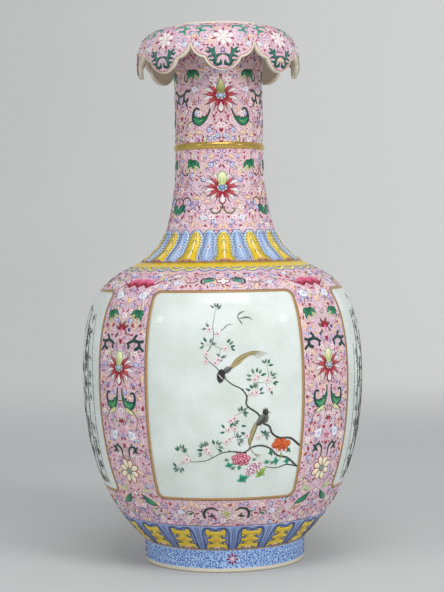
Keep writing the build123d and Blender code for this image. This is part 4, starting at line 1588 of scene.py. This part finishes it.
def draw_upper_neck(azimuth):
    """The flowers above the rib, the same to both sides of a lotus."""
    base = body_pen("neck", azimuth, 346.5)
    lotus(base, crested=False)
    for side in base.sides():
        hook_leaf(side.at(10.2, -16.2, turn=22, size=1.15))
        stem(side, [(22.6, -18.4), (26.6, -19.8), (29.6, -24.4)], 0.8)
        cap_leaf(side.at(23, 18.6, turn=12, size=0.95))
        side.stroke("dark_green", [(24.6, 13.6), (28.2, 11), (30, 14.8), (27.6, 17)],
            (1.3, (0.8, 1, 0.8, 0.5)), 0.22)
        sprig(side.at(29.6, 0, turn=-70, size=0.8))
        bluish_floret(side.at(20, 5, size=0.8))
        stem(side, [(13.4, 7.8), (16.4, 9.4), (19.6, 7.4)], 0.7)
        side.stroke("violet", spiral(11.4, 13.2, 2.3, 200, -1.1, 0.4), (0.9, HAIR), 0.2)
        side.dot("crimson", 25, 4.6, 1.2)
        quatrefoil(side.at(28, -10.6, turn=90, size=0.62))
        edged_blade(side, "peach", "tan", (14, -27.2), (20, -26.6), 3, PETAL)
        floret(side.at(20.4, -4.4), 2.3, "blossom", "crimson", "yellow", 5)
    heart(base.at(0, -25.5, size=0.9))


def draw_lower_neck(azimuth):
    """The flowers below the rib, the same to both sides of a lotus."""
    base = body_pen("neck", azimuth, 279)
    lotus(base, heart="sky")
    for x in (-2.4, 2.4):
        base.blade("crimson", (0.1 * x, 17.4), (x, 13.8), 1.6, LEAF)
    for side in base.sides():
        cap_leaf(side.at(23.2, 20, turn=20, size=0.95))
        side.stroke("brown", [(26, 14.4), (26.6, 11.4), (29.8, 9.4), (33.6, 12), (33.2, 16), (30.8, 17.4)],
            (1.2, (0.7, 1, 1, 0.9, 0.7, 0.4)), 0.2)
        edged_blade(side, "green", "dark_green", (30.6, -13.4), (38, -19.6), 5.6, (0.3, 0.9, 1, 0.8, 0.15),
            0.1, 0.7, layer=1)
        side.blade("dark_green", (32, -16), (30, -19), 1.8)
        side.stroke("brown", [(32, -13.6), (32.6, -9.6), (29.6, -7), (25.6, -8.2), (24.4, -11.6)],
            (1.3, (0.6, 1, 1, 0.8, 0.5)), 0.2)
        side.stroke("brown", [(32.4, -9.4), (35.6, -7.2), (38.6, -9.4)], (1.1, (1, 0.8, 0.4)), 0.2)
        side.stroke("olive", [(0.6, -14.6), (2.6, -18.4), (7, -19), (8.8, -16.2), (6.8, -15.4)],
            (1.5, (0.7, 1, 1, 0.9, 0.7)), 0.22)
        floret(side.at(22.8, -13.6), 3.2, "lilac", "slate_blue", "white", 5)
        violet_floret(side.at(8, 16.6, size=1.3))
        floret(side.at(28.8, 2.6), 2.3, "blossom", "crimson", "yellow", 5)
        edged_blade(side, "peach", "tan", (17, -7.4), (22.6, -7.6), 2.8, PETAL)
        stem(side, [(20, 9.6), (17, 7.8), (14.8, 3.6)], 0.7)
        bluish_floret(side.at(14.6, -22.4, size=0.75))
    base.blade("dark_green", (0, -12.6), (0, -16.4), 1.8)


# ------------------------------------------------------------------ layout: the collar

def petal_edges():
    """For azimuths from a petal's middle, the distance along the collar at which its edge lies."""
    azimuths = np.linspace(0, 22.5, 46)
    edges = []
    for azimuth in azimuths:
        last = COLLAR_REACH * 0.7
        for along in np.arange(COLLAR_REACH * 0.7, -0.01, -0.15):
            start = Vector(COLLAR_SKIN.points(COLLAR_FRONT + azimuth, along, 2) / MM)
            inward = Vector(COLLAR_SKIN.points(COLLAR_FRONT + azimuth, along, -2) / MM) - start
            place = COLLAR_TREE.ray_cast(start, inward.normalized(), 3)[0]
            if place is None:
                break
            last = along
        edges.append(last)
    return azimuths, np.array(edges)


def draw_collar():
    """The collar's pink coat, the fine line along its scallops, and its rolled cream edge."""
    half_az, half_edge = petal_edges()
    one_az = np.concatenate([-half_az[:0:-1], half_az])
    one_edge = np.concatenate([half_edge[:0:-1], half_edge])
    azimuth = COLLAR_FRONT + np.concatenate([one_az[:-1] + 45 * k for k in range(8)] + [[one_az[0] + 360]])
    edge = np.concatenate([one_edge[:-1]] * 8 + [[one_edge[0]]])
    raised = raise_edge(azimuth, edge, 1.1)
    line = raise_edge(azimuth, edge, 1.3)
    rows = np.linspace(0, 1, 34)[:, None]
    alongs = raised + (COLLAR_REACH - 1.6 - raised) * rows
    sheet("collar", "collar_pink", COLLAR_SKIN, np.broadcast_to(azimuth, alongs.shape), alongs, 0.05)
    for k in range(16):
        part = slice(45 * k, 45 * (k + 1) + 1)
        pen = Pen(COLLAR_SKIN, "collar", 0, 0, way="polar")
        pen.stroke("iron_red", np.stack([azimuth[part], line[part]], -1), 0.5, 0.1, layer=1)
    rolled_edge("collar", "rolled_cream", COLLAR_SKIN, azimuth, raise_edge(azimuth, edge, 1.1), 1.78, 1.7)
    ring_line("collar", "iron_red", COLLAR_SKIN, COLLAR_REACH - 1.4, 0.7)


def raise_edge(azimuth, edge, inset):
    """The line a set distance inside the petals' edges."""
    span = 12
    offsets = np.arange(-span, span + 1)
    step = math.radians(float(azimuth[1] - azimuth[0])) * 60
    up = inset**2 - (offsets * step) ** 2
    rolled = [np.roll(edge[:-1], int(o)) + math.sqrt(u) for o, u in zip(offsets, up) if u >= 0]
    raised = np.max(rolled, axis=0)
    return np.append(raised, raised[0])


def draw_petal(azimuth):
    """The blossom, branches and florets of one petal of the collar."""
    pen = Pen(COLLAR_SKIN, "collar", azimuth)
    white_blossom(pen.at(0.6, 25, size=1.08))
    for side in pen.sides():
        acanthus(side)
        sprig(side.at(13, 34, turn=-20, size=0.82), "teal")
        floret(side.at(12.5, 25), 2.8, "white", "lilac", "crimson", 5)
        side.blade("crimson", (9.6, 19.4), (12, 18.2), 1.6, DROP)
        side.blade("crimson", (14.2, 15.8), (16.6, 14.8), 1.6, DROP)
        bluish_floret(side.at(19, 19.5, size=0.6))
    pen.patch("rose", circle(1.5, 9, 0.8) + (0, 36.5), 0.2)
    for x in (-2.6, 2.6):
        pen.blade("crimson", (0.4 * x, 36.2), (1.2 * x, 37.6), 1.4, DROP)


def decorate():
    """Lays everything painted, in the order in which the later parts keep clear of the earlier ones."""
    for turn in range(0, 360, QUARTER):
        draw_panel_field(FRONT + turn)
        draw_pillar(FRONT - QUARTER / 2 + turn)
        draw_strips(FRONT + turn)
    ring_line("lines", "frame_gold", BODY_SKIN, rise(16.9), 2.1)
    ring_line("lines", "slate_blue", BODY_SKIN, rise(BAND_HIGH + 0.6), 0.7)
    ring_line("lines", "bright_gold", BODY_SKIN, rise(SHOULDER), 1.9)
    ring_line("lines", "brown", BODY_SKIN, rise(SHOULDER) + 1.2, 0.4)
    draw_lower_band()
    draw_scalloped_border()
    draw_lappets()
    draw_foot()
    for turn in range(0, 360, THIRD):
        draw_upper_neck(NECK_FRONT + turn)
        draw_lower_neck(NECK_FRONT + turn)
    for turn in range(0, 360, PETAL_WIDE):
        draw_petal(COLLAR_FRONT + turn)
    fill_the_ground()
    draw_collar()
    draw_front_picture()
    draw_back_picture()
    for turn in (QUARTER, 3 * QUARTER):
        draw_bamboo(FRONT + turn)


def fill_the_ground():
    """Scatters the small motifs over the pink ground of the body, the neck and the collar."""
    tree = taken_tree()
    for turn in range(0, 360, QUARTER):
        axis = FRONT - QUARTER / 2 + turn
        fill(BODY_SKIN, "pillar_fill", (axis - QUARTER / 2, axis), (rise(39), rise(216.5)), tree,
            mirror_at=axis,
             inside=lambda a, s: axis - a < QUARTER / 2 - panel_reach(s, 2.4))
    for turn in range(0, 360, THIRD):
        axis = NECK_FRONT + turn
        for low, high in ((248, 306), (314, CUP_SEEN - 2)):
            fill(BODY_SKIN, "neck_fill", (axis - THIRD / 2, axis), (rise(low), rise(high)), tree,
                mirror_at=axis)
    half_az, half_edge = petal_edges()
    for turn in range(0, 360, PETAL_WIDE):
        axis = COLLAR_FRONT + turn
        fill(COLLAR_SKIN, "collar_fill", (axis - PETAL_WIDE / 2, axis), (2, COLLAR_REACH - 3.5), tree,
            mirror_at=axis,
             inside=lambda a, s: s > np.interp(axis - a, half_az, half_edge) + 3)


# ------------------------------------------------------------------ sections, floor, lights, camera

def dress_sections():
    """The CAD sections keep their meshes and get these finishes."""
    pink = pink_ground()
    glaze = plain_glaze("clear_glaze", WHITE_GLAZE)
    cream = plain_glaze("cream_glaze", CREAM, 0.10, 0.22, srgb(236, 228, 206))
    finishes = {"foot_ring": foot_ground(), "base_slab": glaze, "mouth_cup": pink, "lip_ring": cream,
                "petal_collar": cream, "neck_rib": gilding()}
    for name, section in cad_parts.items():
        finish = finishes.get(name, glaze if "bead" in name else pink)
        for material_slot in section.material_slots:
            material_slot.material = finish


def studio_floor():
    """A pale seamless floor that curves up into the backdrop, its paper painted lighter to the right and
    darker on the floor as painted light and shade.
    """
    half, front, back, bend, top = 5.0, -6.0, 1.3, 0.7, 3.2
    outline = [(front, 0.0), (-0.4, 0.0), (0.3, 0.0), (back - bend, 0.0)]
    for i in range(1, 13):
        a = math.radians(90 * i / 12)
        outline.append((back - bend + bend * math.sin(a), bend - bend * math.cos(a)))
    outline.append((back, top))
    points, faces = [], []
    for y, z in outline:
        points += [(-half, y, z), (half, y, z)]
    for i in range(len(outline) - 1):
        faces.append((2 * i, 2 * i + 1, 2 * i + 3, 2 * i + 2))
    mesh = bpy.data.meshes.new("studio_floor")
    mesh.from_pydata(points, [], faces)
    mesh.polygons.foreach_set("use_smooth", [True] * len(faces))
    floor = bpy.data.objects.new("studio_floor", mesh)
    show(floor)
    graph = Graph("studio_paper")
    where = graph.place()
    mottle = graph.ramp(graph.noise(where, 0.004), 0.3, 0.7)
    across, _, height = graph.split(where)
    paper = graph.blend(mottle, srgb(216, 217, 215), srgb(220, 221, 219))
    # painted light: the paper is painted lighter towards the right, where more light falls on the backdrop
    paper = graph.blend(graph.ramp(across, -450, 450), paper, srgb(238, 239, 236))
    # painted shade: the paper is painted darker on the floor and at the foot of its curve, up to 60 mm,
    # where less light falls
    paper = graph.blend(graph.ramp(height, 60, 0), paper, srgb(206, 208, 207))
    graph.paint(paper)
    graph.shader.inputs["Roughness"].default_value = 0.75
    mesh.materials.append(graph.material)


def area_light(name, place, target, size, power, glossy=True):
    """A rectangular softbox that faces a point, with or without a reflection in the glaze."""
    lamp = bpy.data.lights.new(name, "AREA")
    lamp.shape = "RECTANGLE"
    lamp.size, lamp.size_y = size
    lamp.energy = power
    light = bpy.data.objects.new(name, lamp)
    light.location = place
    light.visible_glossy = glossy
    light.rotation_euler = (Vector(target) - Vector(place)).to_track_quat("-Z", "Y").to_euler()
    show(light)


def around(azimuth, elevation, distance, centre=(0, 0, 0.25)):
    """A point at an azimuth from the front and an elevation."""
    a, e = math.radians(azimuth), math.radians(elevation)
    level = distance * math.cos(e)
    return (centre[0] + level * math.sin(a), centre[1] - level * math.cos(a),
        centre[2] + distance * math.sin(e))


def light_the_studio():
    """Soft light all round, a broad key from above in front, and weaker ones from the sides."""
    scene = bpy.context.scene
    scene.view_settings.view_transform = "Standard"
    world = bpy.data.worlds.new("studio")
    scene.world = world
    world.use_nodes = True
    world.node_tree.nodes["Background"].inputs["Color"].default_value = (0.94, 0.965, 1.0, 1)
    world.node_tree.nodes["Background"].inputs["Strength"].default_value = 0.42
    middle = (0, 0, 0.22)
    area_light("softbox_left", around(-50, 20, 1.6), middle, (0.8, 0.9), 4.4, glossy=False)
    area_light("softbox_right", around(42, 22, 1.6), middle, (0.5, 0.6), 9.5, glossy=False)
    area_light("softbox_low", (-0.15, -1.9, 0.3), (0, 0, 0.16), (0.7, 0.5), 2.4, glossy=False)
    area_light("softbox_top", (0.1, -0.9, 1.75), (0, 0, 0.2), (1.0, 0.6), 9)
    for side in (-1, 1):
        area_light(f"glint_{side + 1}", around(55 * side, 22, 1.5), middle, (0.12, 0.16), 0.5)


def aim_the_camera():
    """A long lens, level with the belly and turned slightly, as a hand-held camera is."""
    lens = bpy.data.cameras.new("camera")
    lens.sensor_width = 36
    lens.lens = 90.7
    lens.clip_start = 0.02
    lens.dof.use_dof = False
    camera = bpy.data.objects.new("camera", lens)
    camera.location = (0.0005, -1.130, 0.2341)
    downwards, rolled = 1.82, -0.83
    level = Matrix.Rotation(math.radians(90 - downwards), 4, "X")
    roll = Matrix.Rotation(math.radians(rolled), 4, "Z")
    camera.rotation_euler = (level @ roll).to_euler()
    show(camera)
    bpy.context.scene.camera = camera


dress_sections()
decorate()
finish_pieces()
studio_floor()
light_the_studio()
aim_the_camera()
